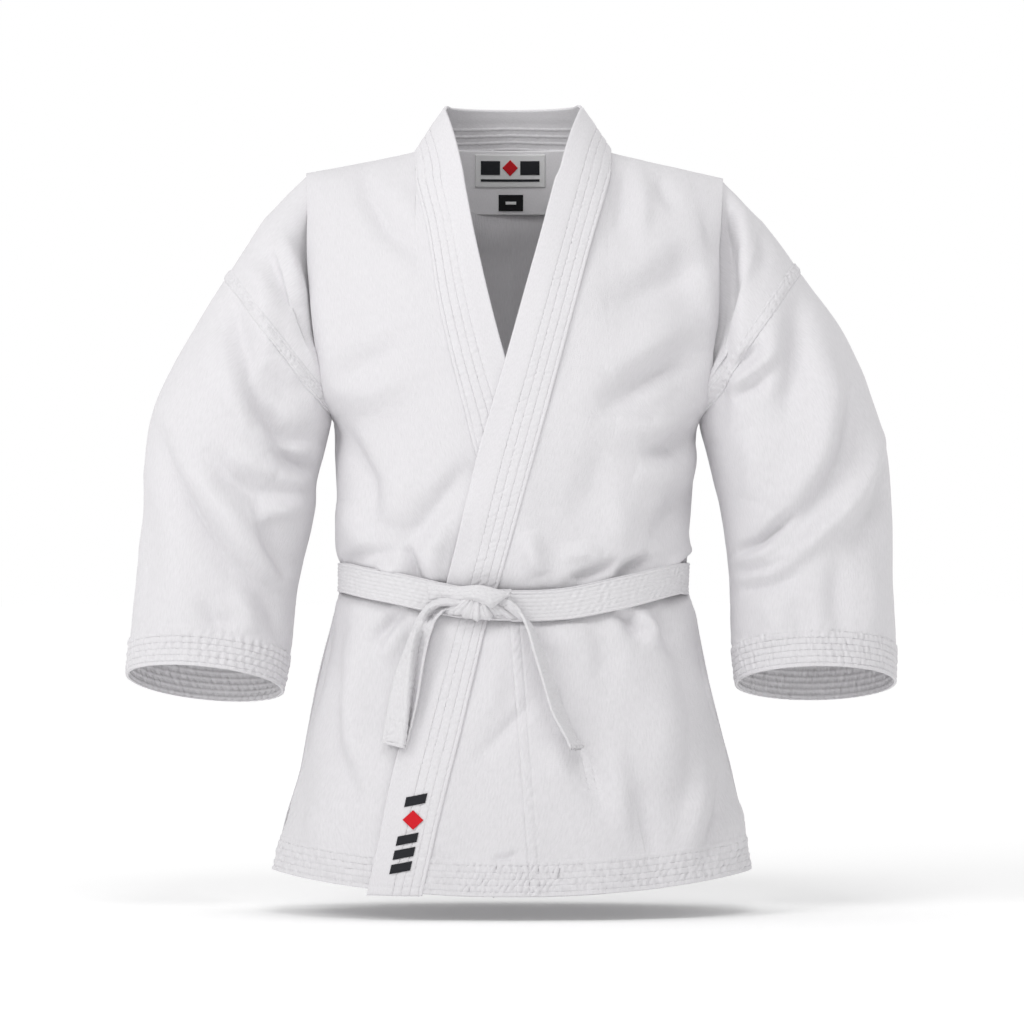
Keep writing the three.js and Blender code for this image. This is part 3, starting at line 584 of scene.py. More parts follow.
FRONT_NODES = ("panel", "extension", "skirt_panel", "skirt_extension", "vent_edge", "hem")
for s, side, outer, lift, columns in (
        (-1, "right", UNDER_OUTER, lambda x, z: 0 * x, 120), (1, "left", OVER_OUTER, over_lift, 130)):
    front, points = make_front(s, f"{side}_front", outer, lift, columns)
    finish_piece(front, CANVAS, [f"{side}_front_{node}" for node in FRONT_NODES],
                 between=FRONT_BEND)

# --- back -------------------------------------------------------------------------------------
BACK_FOLDS = [
    ([(-60, -330), (-70, -390), (-64, -440)], -4, 14, 16),
    ([(50, -320), (66, -390), (60, -440)], -4, 16, 14),
    ([(-120, -300), (-130, -380), (-124, -440)], 4, 18, 16),
    ([(115, -310), (128, -380), (120, -440)], 4, 16, 18),
    ([(0, -340), (4, -400), (0, -440)], 3, 18, 18),
    ([(-40, -455), (-60, -560), (-80, -680)], -4, 22, 26),
    ([(60, -455), (72, -560), (96, -690)], -4, 26, 22),
    ([(-120, -460), (-140, -560), (-160, -660)], 4, 26, 22),
    ([(130, -460), (150, -560), (170, -660)], 4, 22, 26),
    ([(-170, -60), (-178, -160), (-170, -250)], 5, 14, 20),
    ([(170, -60), (180, -160), (172, -250)], 5, 20, 14),
    ([(-80, -60), (-20, -84), (60, -66)], -2.5, 16, 20),
]


def make_back():
    v = np.linspace(-1, 1, 281)[None, :]
    part = np.concatenate([np.linspace(0, 0.078, 50)[:-1], np.linspace(0.078, 1, 120)])[:, None]
    z = lerp(-766.0, ARMPIT_Z, part) + 0 * v
    for _ in range(12):
        spread = vent_spread(z, BACK_VENT)
        limit = np.radians(90 - spread)
        reach = half_width(v, z)
        x = reach * np.sin(v * limit) / np.sin(limit)
        z = lerp(back_hem(x), ARMPIT_Z, part)
    low_points = body(x * np.sin(np.radians(90 - spread)), z, 1)
    low_points[..., 0] = x
    up = np.linspace(0.01, 1, 84)[:, None]
    x2 = v * 190 + 0 * up
    for _ in range(40):
        neck = 180 - angle_at(x2, NECKLINE_Z - 0.05 * np.abs(x2))
        top = np.where(np.abs(x2) < 103, neck, 92.0)
        degrees = lerp(180, top, up)
        z2 = ARMPIT_Z + (ridge(x2) - ARMPIT_Z) * np.sin(np.radians(degrees))
        edge = np.where(v < 0, EDGE[-1](z2), EDGE[1](z2))
        reach = half_width(v, z2)
        x2 = reach * np.sin(v * np.arcsin(np.clip(edge / reach, 0, 1)))
    points = np.concatenate([low_points, over_shoulder(x2, degrees)])
    n = facing(points, normals(points), (0, -60))
    px, pz = points[..., 0], points[..., 2]
    behind = ease((points[..., 1] + 2) / 14)
    drop = pz - back_hem(px)
    height = (1.6 * back_soft(px, pz) + 0.3 * crumple(px + 700, pz) + belt_pinch(px, pz, False)) * behind
    height = height + creases(px, pz, BACK_FOLDS) * behind
    height = height + np.where(drop < 40, stitch_rows(px, drop, HEM_ROWS, 41, 0.9, 0.85), 0)
    height = height + 0.8 * np.exp(-((px / 5) ** 4)) - 0.7 * hump(np.abs(px) - 4.4, 1.0)
    moved = points + n * height[..., None]
    n = facing(moved, normals(moved), (0, -60))
    thick = 1.6 + 1.1 * ease((37 - drop) / 1.5)
    return grid_object("back", moved, n, thick, arc_uv(points)), moved


back, points = make_back()
finish_piece(back, CANVAS, [
    "right_back_panel", "left_back_panel", "back_centre_seam", "back_skirt_panel", "right_back_vent_edge",
    "left_back_vent_edge", "back_hem"], between=BACK_BEND)

# --- lapel and collar, one long band ----------------------------------------------------------
def band_rows():
    """Rows of the band from the over lapel's lower end, round the neck, to the under lapel's end."""
    out = {k: [] for k in ("x0", "x1", "z", "a0", "a1", "kind")}
    for z in np.linspace(-771, -30, 500):
        out["x0"].append(float(OVER_OUTER(z)))
        out["x1"].append(float(OVER_INNER(z)))
        out["z"].append(z)
        out["a0"].append(0.0)
        out["a1"].append(0.0)
        out["kind"].append(0)
    start = {False: 100.0, True: 46.3}
    for t in np.linspace(0.02, 3.98, 200):
        s, p = (1, t) if t < 2 else (-1, 4 - t)
        values = []
        for upper in (False, True):
            ridge_x = NECK_HALF if upper else 101.5
            begin = start[upper] if s > 0 else (start[upper] + (2.5 if upper else 0))
            first = float(angle_at(np.array(s * begin), np.array(-30.0)))
            if p < 1:
                values.append((s * lerp(begin, ridge_x, math.sin(p * math.pi / 2)), lerp(first, 90, p)))
                continue
            turn = (p - 1) * math.pi / 2
            x = ridge_x * math.cos(turn) ** 0.9 if turn < math.pi / 2 - 1e-6 else 0.0
            level = COLLAR_TOP + 2.5 if upper else NECKLINE_Z - 4 - 0.05 * x
            below_ridge = min(level, float(ridge(np.array(s * x))) - 0.01)
            full = 180 - float(angle_at(np.array(s * x), np.array(below_ridge)))
            values.append((s * x, lerp(90, full, float(ease((p - 1) * 3.2)))))
        out["x0"].append(values[0][0])
        out["x1"].append(values[1][0])
        out["z"].append(0.0)
        out["a0"].append(values[0][1])
        out["a1"].append(values[1][1])
        out["kind"].append(1)
    for z in np.linspace(-30, -757, 460):
        out["x0"].append(float(UNDER_OUTER(z)))
        out["x1"].append(float(UNDER_INNER(z)))
        out["z"].append(z)
        out["a0"].append(0.0)
        out["a1"].append(0.0)
        out["kind"].append(2)
    return {k: np.array(v) for k, v in out.items()}


def make_band():
    rows = band_rows()
    v = np.linspace(0, 1, 84)[None, :]
    x = lerp(rows["x0"][:, None], rows["x1"][:, None], v)
    kind = rows["kind"][:, None] + 0 * v
    flat = body(x, rows["z"][:, None] + 0 * v, -1)
    turned = over_shoulder(x, lerp(rows["a0"][:, None], rows["a1"][:, None], v))
    points = np.where((kind == 1)[..., None], turned, flat)
    for k in range(3):
        mixed = points.copy()
        mixed[1:-1] = (points[:-2] + 2 * points[1:-1] + points[2:]) / 4
        near = (np.abs(np.arange(len(points)) - 500) < 14) | (np.abs(np.arange(len(points)) - 700) < 14)
        points = np.where(near[:, None, None], mixed, points)
    away = points - np.array([0, 10, 0])
    away[..., 2] = 0
    n = matching(normals(points), away)
    count = len(points)
    base = 5.4 - 3.6 * ease((np.arange(count)[:, None] - 520) / 80) + 0 * v
    px, pz = points[..., 0], points[..., 2]
    in_front = np.where(kind == 1, 0.0, 1.0) * ease((-24 - pz) / 60)
    height = base + in_front * (0.75 * front_relief(px, pz))
    along = run_along(points[:, 40])[:, None]
    width = np.linalg.norm(points[:, 0] - points[:, -1], axis=1)[:, None]
    across = v * width
    scale = width / 55.0
    stitched = stitch_rows(along, across / scale, [4.0, 12.5, 21.0, 29.5], 61, 0.34, 0.9)
    plain = 0.35 * hump(across / scale - 36, 5)
    height = height + stitched + plain
    ends = np.minimum(along, along[-1] - along)
    height = height - 0.6 * hump(ends - 9, 1.1)
    moved = points + n * height[..., None]
    n2 = matching(normals(moved), n)
    edge = np.minimum(np.minimum(across, width - across), ends)
    made = grid_object("lapel_band", moved, n2, rounded(edge + 0.25, 3.5, 2.2), uv_of(across, along))
    return made, moved


band, points = make_band()
finish_piece(band, BAND, [
    "over_lapel", "over_lapel_end", "under_lapel", "under_lapel_end", "back_collar"],
    between=FRONT_BEND)

# --- sleeves ----------------------------------------------------------------------------------
RINGS = {
    -1: [(258, -70, 189, -272, 76, 0, 0), (301, -133, 191, -274, 78, 0, 0), (345, -205, 192, -285, 80, 0, 0),
         (377, -271, 199, -314, 80, 0, 0), (385, -330, 207, -345, 78, 0, 0), (386, -377, 209, -380, 77, 0, 0),
         (393, -445, 225, -456, 76, -3, 4), (400, -505, 230, -513, 75, -7, 12),
         (403, -549, 241.5, -564, 74, -12, 20)],
    1: [(262, -72, 194, -270, 76, 0, 0), (301, -127, 197, -275, 78, 0, 0), (340, -180, 199, -292, 80, 0, 0),
        (373, -245, 205, -316, 80, 0, 0), (392, -309, 212, -347, 78, 0, 0), (397, -377, 219, -379, 77, 0, 0),
        (399, -440, 228, -446, 76, -3, 4), (401, -500, 230, -506, 75, -7, 12),
        (402, -556, 235, -557, 74, -12, 20)],
}
SLEEVE_FOLDS = {
    -1: [
        ([(-273, -245), (-262, -272), (-244, -297), (-227, -304), (-200, -301)], -9, 15, 6),
        ([(-262, -230), (-235, -251), (-206, -255)], -5, 18, 14),
        ([(-286, -209), (-288, -251), (-275, -291), (-252, -314)], 5.5, 12, 14),
        ([(-248, -306), (-235, -320), (-218, -329), (-204, -324)], -8, 9, 9),
        ([(-246, -339), (-227, -345), (-210, -341)], 5, 9, 9),
        ([(-374, -285), (-357, -329), (-330, -375), (-294, -423), (-262, -450), (-231, -471)], -8.5, 9, 17),
        ([(-332, -324), (-304, -364), (-275, -408), (-239, -442)], 8.5, 16, 15),
        ([(-321, -312), (-294, -343), (-262, -360), (-223, -358)], -6, 15, 13),
        ([(-294, -314), (-262, -331), (-235, -337)], 4.5, 12, 13),
        ([(-262, -373), (-237, -373), (-214, -366)], 5.5, 11, 10),
        ([(-265, -387), (-254, -415), (-233, -446)], -8, 20, 6),
        ([(-290, -146), (-286, -186), (-275, -226), (-271, -247)], -6, 12, 11),
        ([(-313, -186), (-304, -238), (-300, -280)], 4.5, 18, 20),
        ([(-258, -154), (-256, -186), (-250, -213)], 4.5, 14, 12),
        ([(-227, -154), (-214, -186), (-204, -209)], -4, 10, 10),
        ([(-256, -102), (-239, -142), (-225, -173)], -5, 9, 11),
        ([(-239, -87), (-225, -129), (-212, -161)], 4.5, 9, 9),
        ([(-275, -114), (-262, -140), (-244, -165)], 3.5, 12, 12),
        ([(-323, -469), (-309, -488), (-284, -495)], -3.5, 9, 9),
        ([(-349, -427), (-338, -469), (-328, -503)], 3, 18, 18),
        ([(-262, -459), (-248, -482), (-242, -511)], -4, 12, 10),
        ([(-286, -453), (-275, -480), (-269, -507)], 3, 10, 12),
        ([(-380, -364), (-378, -427), (-384, -490)], -3, 14, 10),
    ],
    1: [
        ([(220, -39), (225, -102), (218, -175), (212, -251), (214, -301)], -11, 13, 12),
        ([(237, -56), (242, -102), (237, -140)], 6, 11, 9),
        ([(256, -77), (262, -102), (258, -125)], -3, 8, 9),
        ([(298, -142), (297, -186), (292, -243), (281, -280)], -8, 13, 15),
        ([(271, -167), (269, -207), (260, -251)], 5, 14, 14),
        ([(315, -192), (330, -255), (321, -322), (292, -366), (273, -379)], 10, 18, 22),
        ([(346, -203), (357, -257), (346, -312), (319, -358), (294, -392), (273, -413)], -9, 14, 13),
        ([(388, -289), (372, -337), (340, -381), (307, -411), (273, -432), (244, -445)], 8, 10, 10),
        ([(395, -314), (386, -362), (368, -396), (344, -419)], -7, 14, 12),
        ([(233, -419), (256, -408), (277, -390), (294, -375)], -8, 5, 7),
        ([(235, -429), (262, -420), (288, -402)], 4.5, 6, 5),
        ([(237, -440), (269, -433), (298, -417)], -4.5, 5, 5),
        ([(237, -461), (273, -453), (302, -438)], -4, 9, 7),
        ([(338, -423), (336, -467), (340, -511)], -4.5, 14, 13),
        ([(372, -427), (374, -469), (372, -507)], 3, 12, 14),
        ([(225, -232), (242, -219), (260, -203)], -5, 7, 8),
        ([(227, -261), (252, -245), (281, -219)], -5, 7, 9),
        ([(223, -249), (244, -234), (269, -215)], 3.6, 6, 6),
        ([(242, -291), (252, -324), (248, -364)], 4, 16, 16),
        ([(265, -465), (273, -490), (279, -516)], 3, 16, 16),
        ([(292, -467), (298, -490), (300, -516)], -3, 12, 12),
    ],
}


CUFF_ROWS = [4, 10.5, 17, 23.5, 30, 36.5]


def make_sleeve(s, name):
    ring_value = [curve([(i, r[k]) for i, r in enumerate(RINGS[s])]) for k in range(7)]
    cuff_from = 8 - 38 / 51
    t = np.concatenate([
        np.linspace(-1.2, 0.7, 52)[:-1], np.linspace(0.7, 1.15, 30)[:-1],
        np.linspace(1.15, cuff_from - 0.06, 118)[:-1],
        np.linspace(cuff_from - 0.06, 8, 56)])[:, None]
    around = 280
    angle = np.linspace(0, 2 * math.pi, around, endpoint=False)[None, :]
    later = np.clip(t, 0, 8)
    xo, zo, xi, zi, depth, shift, tilt = (value(later) for value in ring_value)
    c, d = np.cos(angle), np.sin(angle)
    # a slightly squared ring, as cloth hangs
    x = (xo + xi) / 2 + (xo - xi) / 2 * c
    z = (zo + zi) / 2 + (zo - zi) / 2 * c + tilt * d
    ring = np.stack(np.broadcast_arrays(s * x, shift - depth * np.sign(d) * np.abs(d) ** 0.92, z), -1)
    top = float(ridge(np.array(s * (214.0 if s < 0 else 220.0))))
    low_z = ARMPIT_Z + 1
    za = lerp(low_z, top, 0.5 + 0.5 * c)
    xa = EDGE[s](za) - 3
    front_part = body(s * xa, za, -1)
    back_part = body(s * xa, za, 1)
    start = np.where((d > 0)[..., None], front_part, back_part)
    start = start * np.array([1, 0.94, 1]) + np.array([0, 0, -1.0]) * (c > 0.2)[..., None]
    p = np.clip(t + 1, 0, 1)
    k = (ease(p) * 0.35 + p * 0.65)[..., None]
    points = lerp(start, ring, k)
    inner = np.clip(-1 - t, 0, 1)[..., None]
    points = points + inner * 5 * np.array([-s * 18.0, 0, 0])
    points[..., 1] *= 1 - 0.9 * inner[..., 0]
    n = matching(normals(points, wrap=True), points - points.mean(1, keepdims=True))
    px, pz = points[..., 0], points[..., 2]
    front_side = ease((d - 0.02) / 0.3)
    height = 1.7 * creases(px, pz, SLEEVE_FOLDS[s]) * front_side
    behind = ease((-d - 0.02) / 0.3)
    height = height + behind * creases(px, pz, [
        ([(s * 250, -150), (s * 262, -250), (s * 250, -330)], 5, 16, 22),
        ([(s * 300, -200), (s * 320, -290), (s * 300, -360)], -4, 18, 18),
        ([(s * 230, -360), (s * 290, -395), (s * 350, -385)], -6, 14, 16),
        ([(s * 240, -400), (s * 300, -430), (s * 360, -420)], 5, 16, 14),
        ([(s * 330, -440), (s * 320, -500), (s * 330, -540)], 3, 20, 20)])
    depth_way = points[..., 1]
    height = height + 1.1 * soft(px + 300 * s, pz + depth_way * 0.7) + 0.35 * crumple(px, pz + depth_way)
    fade_top = ease((t + 1.15) / 0.5)
    armpit = ease((-c - 0.2) / 0.6) * ease((1.2 - t) / 1.0)
    height = height * fade_top * (1 - 0.6 * armpit)
    valley = hump(t + 0.8, 0.34) * ease((0.86 - c) / 0.5) * front_side
    height = height - (9.0 if s < 0 else 12.0) * valley
    # armhole seam: a felled band standing proud, and the cuff
    length_along = np.linalg.norm(np.diff(points, axis=0), axis=-1)
    run = np.concatenate([np.zeros((1, around)), np.cumsum(length_along, 0)])
    round_way = run_along(points[130])[None, :]
    at_seam = np.argmin(np.abs(t[:, 0] - 1.0))
    from_seam = run[at_seam][None, :] - run
    band_zone = ease((from_seam + 0.6) / 0.9) * ease((11.5 - from_seam) / 1.4)
    height = height + 1.3 * band_zone
    height = height + band_zone * stitch_rows(round_way, from_seam, [1.8, 8.8], 71 + s, 0.8, 0.8)
    height = height - 0.7 * hump(from_seam + 1.2, 1.6)
    from_cuff = run[-1][None, :] - run
    in_cuff = ease((38.5 - from_cuff) / 1.2)
    height = height + in_cuff * (0.5 + stitch_rows(round_way, from_cuff, CUFF_ROWS, 81 + s, 0.95, 1.0))
    height = height + 0.5 * hump(from_cuff - 44, 5) * waves(12 + s, 10, 8, 20)(round_way, from_cuff)
    moved = points + n * height[..., None]
    n2 = matching(normals(moved, wrap=True), n)
    thick = 1.6 + 1.4 * in_cuff
    uv = uv_of(round_way, run)
    return grid_object(name, moved, n2, thick, uv, wrap=True), moved


for s, side in ((-1, "right"), (1, "left")):
    sleeve, points = make_sleeve(s, f"{side}_sleeve")
    finish_piece(sleeve, CANVAS, [f"{side}_{n}" for n in (
        "shoulder_cap", "armhole_band", "upper_sleeve", "gusset", "forearm_sleeve", "cuff")],
        between=("jacket", f"{side}_forearm_sleeve", (0, 0, -0.322), (0, 0, -0.432)))

# --- belt turns -------------------------------------------------------------------------------
BELT_WIDTH = 31.0


def make_turn(name, front_out, back_out, drop, seed):
    around = 900
    angle = np.linspace(0, 2 * math.pi, around, endpoint=False)[:, None]
    v = np.linspace(-0.5, 0.5, 56)[None, :]
    c = np.cos(angle)
    z0 = np.where(c > 0, BELT_LINE(200 * np.sin(angle)), -446.0) - drop * np.clip(c, 0, 1)
    z = z0 - v * BELT_WIDTH
    x = half_width(np.sin(angle), z0 + 0 * z) * np.sin(angle)
    front_points, back_points = body(x, z0 + 0 * z, -1), body(x, z0 + 0 * z, 1)
    points = np.where((c > 0)[..., None], front_points, back_points)
    points[..., 2] = z
    flat = points.copy()
    flat[..., 2] = 0
    n = np.cross(np.roll(flat, -1, 0) - np.roll(flat, 1, 0), np.array([0, 0, 1.0]))
    n /= np.linalg.norm(n, axis=-1, keepdims=True)
    n = n if (n[..., :2] * points[..., :2]).sum() > 0 else -n
    out = lerp(back_out, front_out, ease((c + 0.5) / 0.85)) - 9.0 * np.abs(np.sin(angle)) ** 8 + 0 * v
    along = run_along(points[:, 28])[:, None]
    across = (v + 0.5) * BELT_WIDTH
    rows = [3.2, 7.3, 11.4, 15.5, 19.6, 23.7, 27.8]
    relief = stitch_rows(along, across, rows, seed, 0.36, 0.5)
    rim = 0.45 * (hump(across - 1.4, 1.0) + hump(across - 29.6, 1.0))
    sway = 1.3 * waves(seed + 1, 8, 60, 200)(along, across * 2)
    points = points + n * (out + relief + rim + sway * 0.5 + 0.4)[..., None]
    points[..., 2] += (sway * 0.8).astype(float)
    thick = rounded(np.minimum(across, BELT_WIDTH - across) + 0.2, 3.0, 1.6)
    p = points.transpose(1, 0, 2)
    uv = uv_of(across, along).transpose(1, 0, 2)
    made = grid_object(name, p, n.transpose(1, 0, 2), thick.T, uv, wrap=True)
    return made, p


for name, node, front_out, back_out, drop in (
        ("belt_inner", "belt_inner_turn", 7.6, 3.4, -1.5),
        ("belt_outer", "belt_outer_turn", 11.2, 7.0, 0.0)):
    turn, points = make_turn(name, front_out, back_out, drop, 91 + len(name))
    finish_piece(turn, BELT, [node], body="jacket")


# --- belt ends and knot: each is a net of points, smooth both ways ----------------------------
# Nets of (x, y, z): a tail's rows run down it, the knot's rows run down and its columns to +x.
RIGHT_TAIL = [
    [(-47.3, -129.9, -467.4), (-47.2, -131.9, -469.4), (-47.2, -132.9, -471.4),
     (-48.3, -130.8, -473.5), (-49.3, -128.7, -475.6)],
    [(-58.5, -130.4, -466.8), (-58.5, -132.4, -468.9), (-58.5, -133.9, -471.4),
     (-59.7, -120.2, -474.7), (-60.6, -129.1, -476.6)],
    [(-70.9, -129.1, -465.8), (-71.9, -131.9, -468.3), (-72.9, -133.7, -471.4),
     (-72, -120.4, -474.7), (-68.8, -130, -477.6)],
    [(-82.2, -126.4, -469.5), (-83.2, -130.1, -472.5), (-84.2, -132.8, -476),
     (-80.3, -120.4, -479.8), (-74, -130.9, -482.7)],
    [(-90.5, -122.9, -476.7), (-90.9, -127.8, -479.7), (-90.4, -131.9, -483.2),
     (-84.4, -120.3, -485), (-78.1, -131, -487.9)],
    [(-97.8, -118.4, -488.1), (-96.7, -123.8, -490.1), (-94.5, -129.6, -492),
     (-88.4, -128.5, -494.1), (-82.1, -137.5, -498)],
    [(-103.8, -130, -502.3), (-101.6, -136, -503.2), (-99.4, -141.5, -504.1),
     (-93.5, -128, -506.4), (-85.2, -137, -508.3)],
    [(-111, -128, -520.8), (-106.7, -135, -520.6), (-103, -141, -520.5), (-96.6, -127.5, -520.8),
     (-88.8, -136.5, -523.7)],
    [(-118.2, -126, -539.4), (-111.4, -134, -540.2), (-105.1, -140.5, -541),
     (-99.2, -127, -543.5), (-92.9, -136, -546.3)],
    [(-123.9, -125, -560), (-115, -133, -561.8), (-106.9, -140, -563.6), (-102.3, -126.5, -566.1),
     (-96.5, -135.5, -568.9)],
    [(-128, -124, -580.6), (-117.6, -132, -583.4), (-108.4, -139.5, -586.2),
     (-105.4, -126, -588.7), (-101.6, -135, -590.4)],
    [(-131.6, -125, -601.1), (-120.7, -132, -602.9), (-110.6, -139, -605.7),
     (-108.5, -125.5, -607.7), (-105.9, -134.5, -608.9)],
    [(-133.6, -126, -614.4), (-122.7, -132.5, -616.7), (-112.4, -138.5, -619),
     (-111, -125, -620.6), (-109.6, -134, -621.3)],
]
LEFT_TAIL = [
    [(-13.4, -131, -465.3), (-13.4, -130, -468.4), (-13.4, -129, -471.5)],
    [(-5.1, -135, -466.2), (-6.2, -133, -470.4), (-8.2, -130, -474.5)],
    [(2.1, -140, -470.8), (1, -137, -475.4), (-1, -132, -479.6)],
    [(7.7, -145, -478.4), (8.2, -139, -482.6), (9.2, -131, -486.8)],
    [(12.3, -149, -487.5), (15.4, -139, -489.3), (18.5, -129, -491.5)],
    [(17.4, -152, -500.8), (21, -140, -502.1), (24.7, -128, -503.3)],
    [(21.5, -155, -516.1), (26.1, -142, -516.9), (30.8, -129, -517.7)],
    [(26.6, -158, -533.4), (31.8, -145, -533.7), (37, -131, -533.6)],
    [(31.2, -160, -548.6), (36.9, -146.5, -549), (42.6, -133, -549.4)],
    [(35.8, -162, -564.9), (42, -148.5, -565.4), (47.7, -135, -565.8)],
    [(40.9, -163, -581.2), (47.6, -149.5, -581.7), (53.4, -136, -581.2)],
    [(49, -163, -596.6), (54.8, -150, -596.5), (59.5, -137, -595.5)],
    [(55.7, -163, -608.8), (60.9, -150.5, -609.3), (65.7, -138, -608.8)],
    [(59.8, -162, -619.1), (66.5, -151, -619.5), (72.8, -140, -619)],
]
KNOT_BAND = [
    [(-86.5, -116.4, -450.1), (-76.1, -119.9, -451.6), (-65.8, -124.3, -453),
     (-55.5, -129.2, -454), (-45.2, -134.4, -452.9), (-36.9, -138.2, -452.1),
     (-27.7, -139.8, -453.1), (-20.5, -139.5, -454.9), (-12.3, -137.2, -457.3),
     (-2.6, -132.8, -460.1)],
    [(-86.5, -116.9, -455.2), (-76.1, -121.2, -456.2), (-65.8, -126.3, -457.1),
     (-55.5, -131.9, -457.8), (-45.1, -137.3, -456.8), (-36.9, -141, -456.3),
     (-27.7, -142.6, -457.8), (-20.5, -142.4, -459.9), (-12.3, -140.1, -460),
     (-2.6, -135.6, -460.4)],
    [(-86.5, -117.1, -460.3), (-76.1, -121.4, -460.8), (-65.8, -126.7, -461.2),
     (-55.4, -132.4, -461.7), (-45.1, -137.8, -460.7), (-36.9, -141.6, -460.4),
     (-27.7, -143.2, -462.4), (-20.5, -142.9, -464.9), (-12.3, -140.6, -462.7),
     (-2.6, -136.2, -460.8)],
    [(-86.5, -116.9, -465.5), (-76.1, -121.2, -465.4), (-65.8, -126.3, -465.4),
     (-55.5, -131.9, -465.5), (-45.1, -137.3, -464.6), (-36.9, -141, -464.6),
     (-27.7, -142.6, -467.1), (-20.5, -142.4, -469.9), (-12.3, -140.1, -465.5),
     (-2.6, -135.6, -461.2)],
    [(-86.5, -116.1, -470.7), (-76.2, -119.3, -470.1), (-65.8, -123.3, -469.5),
     (-55.5, -127.9, -469.4), (-45.2, -133, -468.6), (-36.9, -136.8, -468.8),
     (-27.7, -138.4, -471.8), (-20.5, -138.1, -475), (-12.3, -135.8, -468.3),
     (-2.6, -131.4, -461.6)],
]
KNOT = [
    [(-67.8, -125.8, -465.4), (-58.6, -129.4, -465.3), (-49.3, -131.7, -465.3),
     (-41.1, -133.5, -465.2), (-32.8, -134.2, -465.2), (-24.6, -133.6, -465.2),
     (-16.4, -131.9, -465.3), (-9.2, -130, -467.3), (-2.1, -129, -472.5), (5.1, -128, -477.1)],
    [(-67.8, -126.8, -470.5), (-58.5, -130.4, -470.4), (-49.3, -133.7, -470.4),
     (-41, -136, -470.3), (-32.8, -136.7, -470.3), (-24.6, -136.1, -470.3),
     (-16.4, -132.4, -470.4), (-9.2, -131, -471.4), (-2.1, -130.5, -475.6), (5.1, -129.5, -479.7)],
    [(-67.8, -126.3, -475.6), (-58.5, -130.4, -475.6), (-49.3, -134.2, -475.5),
     (-41, -137, -476.5), (-32.8, -137.7, -476.5), (-24.6, -137.1, -476.5),
     (-16.4, -132.4, -475.5), (-9.2, -131, -475.6), (-2.1, -131, -478.6), (5.1, -130, -481.7)],
    [(-67.9, -124.8, -478.7), (-58.6, -128.9, -480.2), (-49.3, -132.7, -481.7),
     (-41.1, -135, -483.7), (-32.8, -135.7, -484.2), (-24.6, -135.1, -483.7),
     (-16.4, -131.9, -480.7), (-9.2, -130.5, -479.7), (-2.1, -130.5, -482.7),
     (5.1, -129.5, -484.8)],
    [(-67.9, -121.8, -479.8), (-58.6, -125.4, -481.3), (-49.3, -128.7, -483.3),
     (-41.1, -130.5, -486.3), (-32.9, -131.2, -486.8), (-24.6, -131.1, -486.3),
     (-16.4, -128.9, -482.3), (-9.2, -128, -481.3), (-2.1, -128, -484.8), (5.1, -127.5, -486.7)],
    [(-67.9, -118.8, -478.8), (-58.6, -121.4, -480.3), (-49.4, -123.7, -482.4),
     (-41.1, -125, -485.4), (-32.9, -125.7, -485.9), (-24.7, -125.6, -485.4),
     (-16.5, -124.9, -481.3), (-9.3, -124, -480.3), (-2.1, -124, -483.9), (5.1, -124, -486)],
]
TAIL_ROWS = [3.2, 7.3, 11.4, 15.5, 19.6, 23.7, 27.8]


def net_surface(net, rows, cols):
    def resample(line, count):
        return curve(list(enumerate(line)))(np.linspace(0, len(line) - 1, count))

    net = np.array(net, float)
    down = np.apply_along_axis(resample, 0, net, rows)
    return np.apply_along_axis(resample, 1, down, cols)


def net_piece(name, net, rows, cols, thick, stitches, seed, width, pucker, relief=None, fray=0.0, box=False):
    """Cloth through a net; stitches are the rows' places across the width, which the columns cross."""
    points = smooth = net_surface(net, rows, cols)
    if fray:
        rng = np.random.default_rng(seed + 7)
        last = ease((np.arange(rows) - rows + 6) / 5)[:, None]
        points = points + last[..., None] * fray * rng.uniform(-1, 1, (1, cols, 1)) * np.array([0.3, 0.3, 1])
    n = normals(points)
    n = n if n[..., 1].sum() < 0 else -n
    along = run_along(points[:, cols // 2])[:, None]
    across = np.linspace(0, width, cols)[None, :]
    height = stitch_rows(along, across, stitches, seed, pucker, 0.5)
    if relief:
        height = height + relief(points[..., 0], points[..., 2])
    if box:
        left = along[-1] - along
        within = ease((28 - left) / 1.0)
        height = height + within * (
            0.4 - 0.8 * hump(left - 3, 0.9) - 0.8 * hump(left - 25, 0.9)
            - 0.7 * hump(across - 3, 0.9) - 0.7 * hump(across - 12.5, 0.9))
    moved = points + n * height[..., None]
    n2 = matching(normals(moved), n)
    edge = np.minimum(np.minimum(across, width - across), np.minimum(along, along[-1] - along) + 0.2)
    uv = uv_of(across, along)
    return grid_object(name, moved, n2, rounded(edge + 0.25, thick, 1.5), uv), smooth


def knot_pleats(x, z):
    """Pleats that fan down from under the crossing band."""
    fan = np.arctan2(x + 35, -(z + 458))
    pleats = 1.0 * np.cos(fan * 15 + 0.6) + 0.5 * np.cos(fan * 27 + 1) + 0.25 * np.cos(fan * 49)
    return ease((-463 - z) / 6) * pleats


def band_crease(x, z):
    return creases(x, z, [
        ([(-38, -454), (-41, -463)], -1.6, 2.2, 3.0),
        ([(-30, -456), (-34, -466)], 0.6, 4, 4),
        ([(-58, -459), (-47, -466), (-30, -470)], -0.9, 3, 3),
        ([(-70, -464), (-48, -461), (-14, -463)], 0.7, 4, 4),
    ])


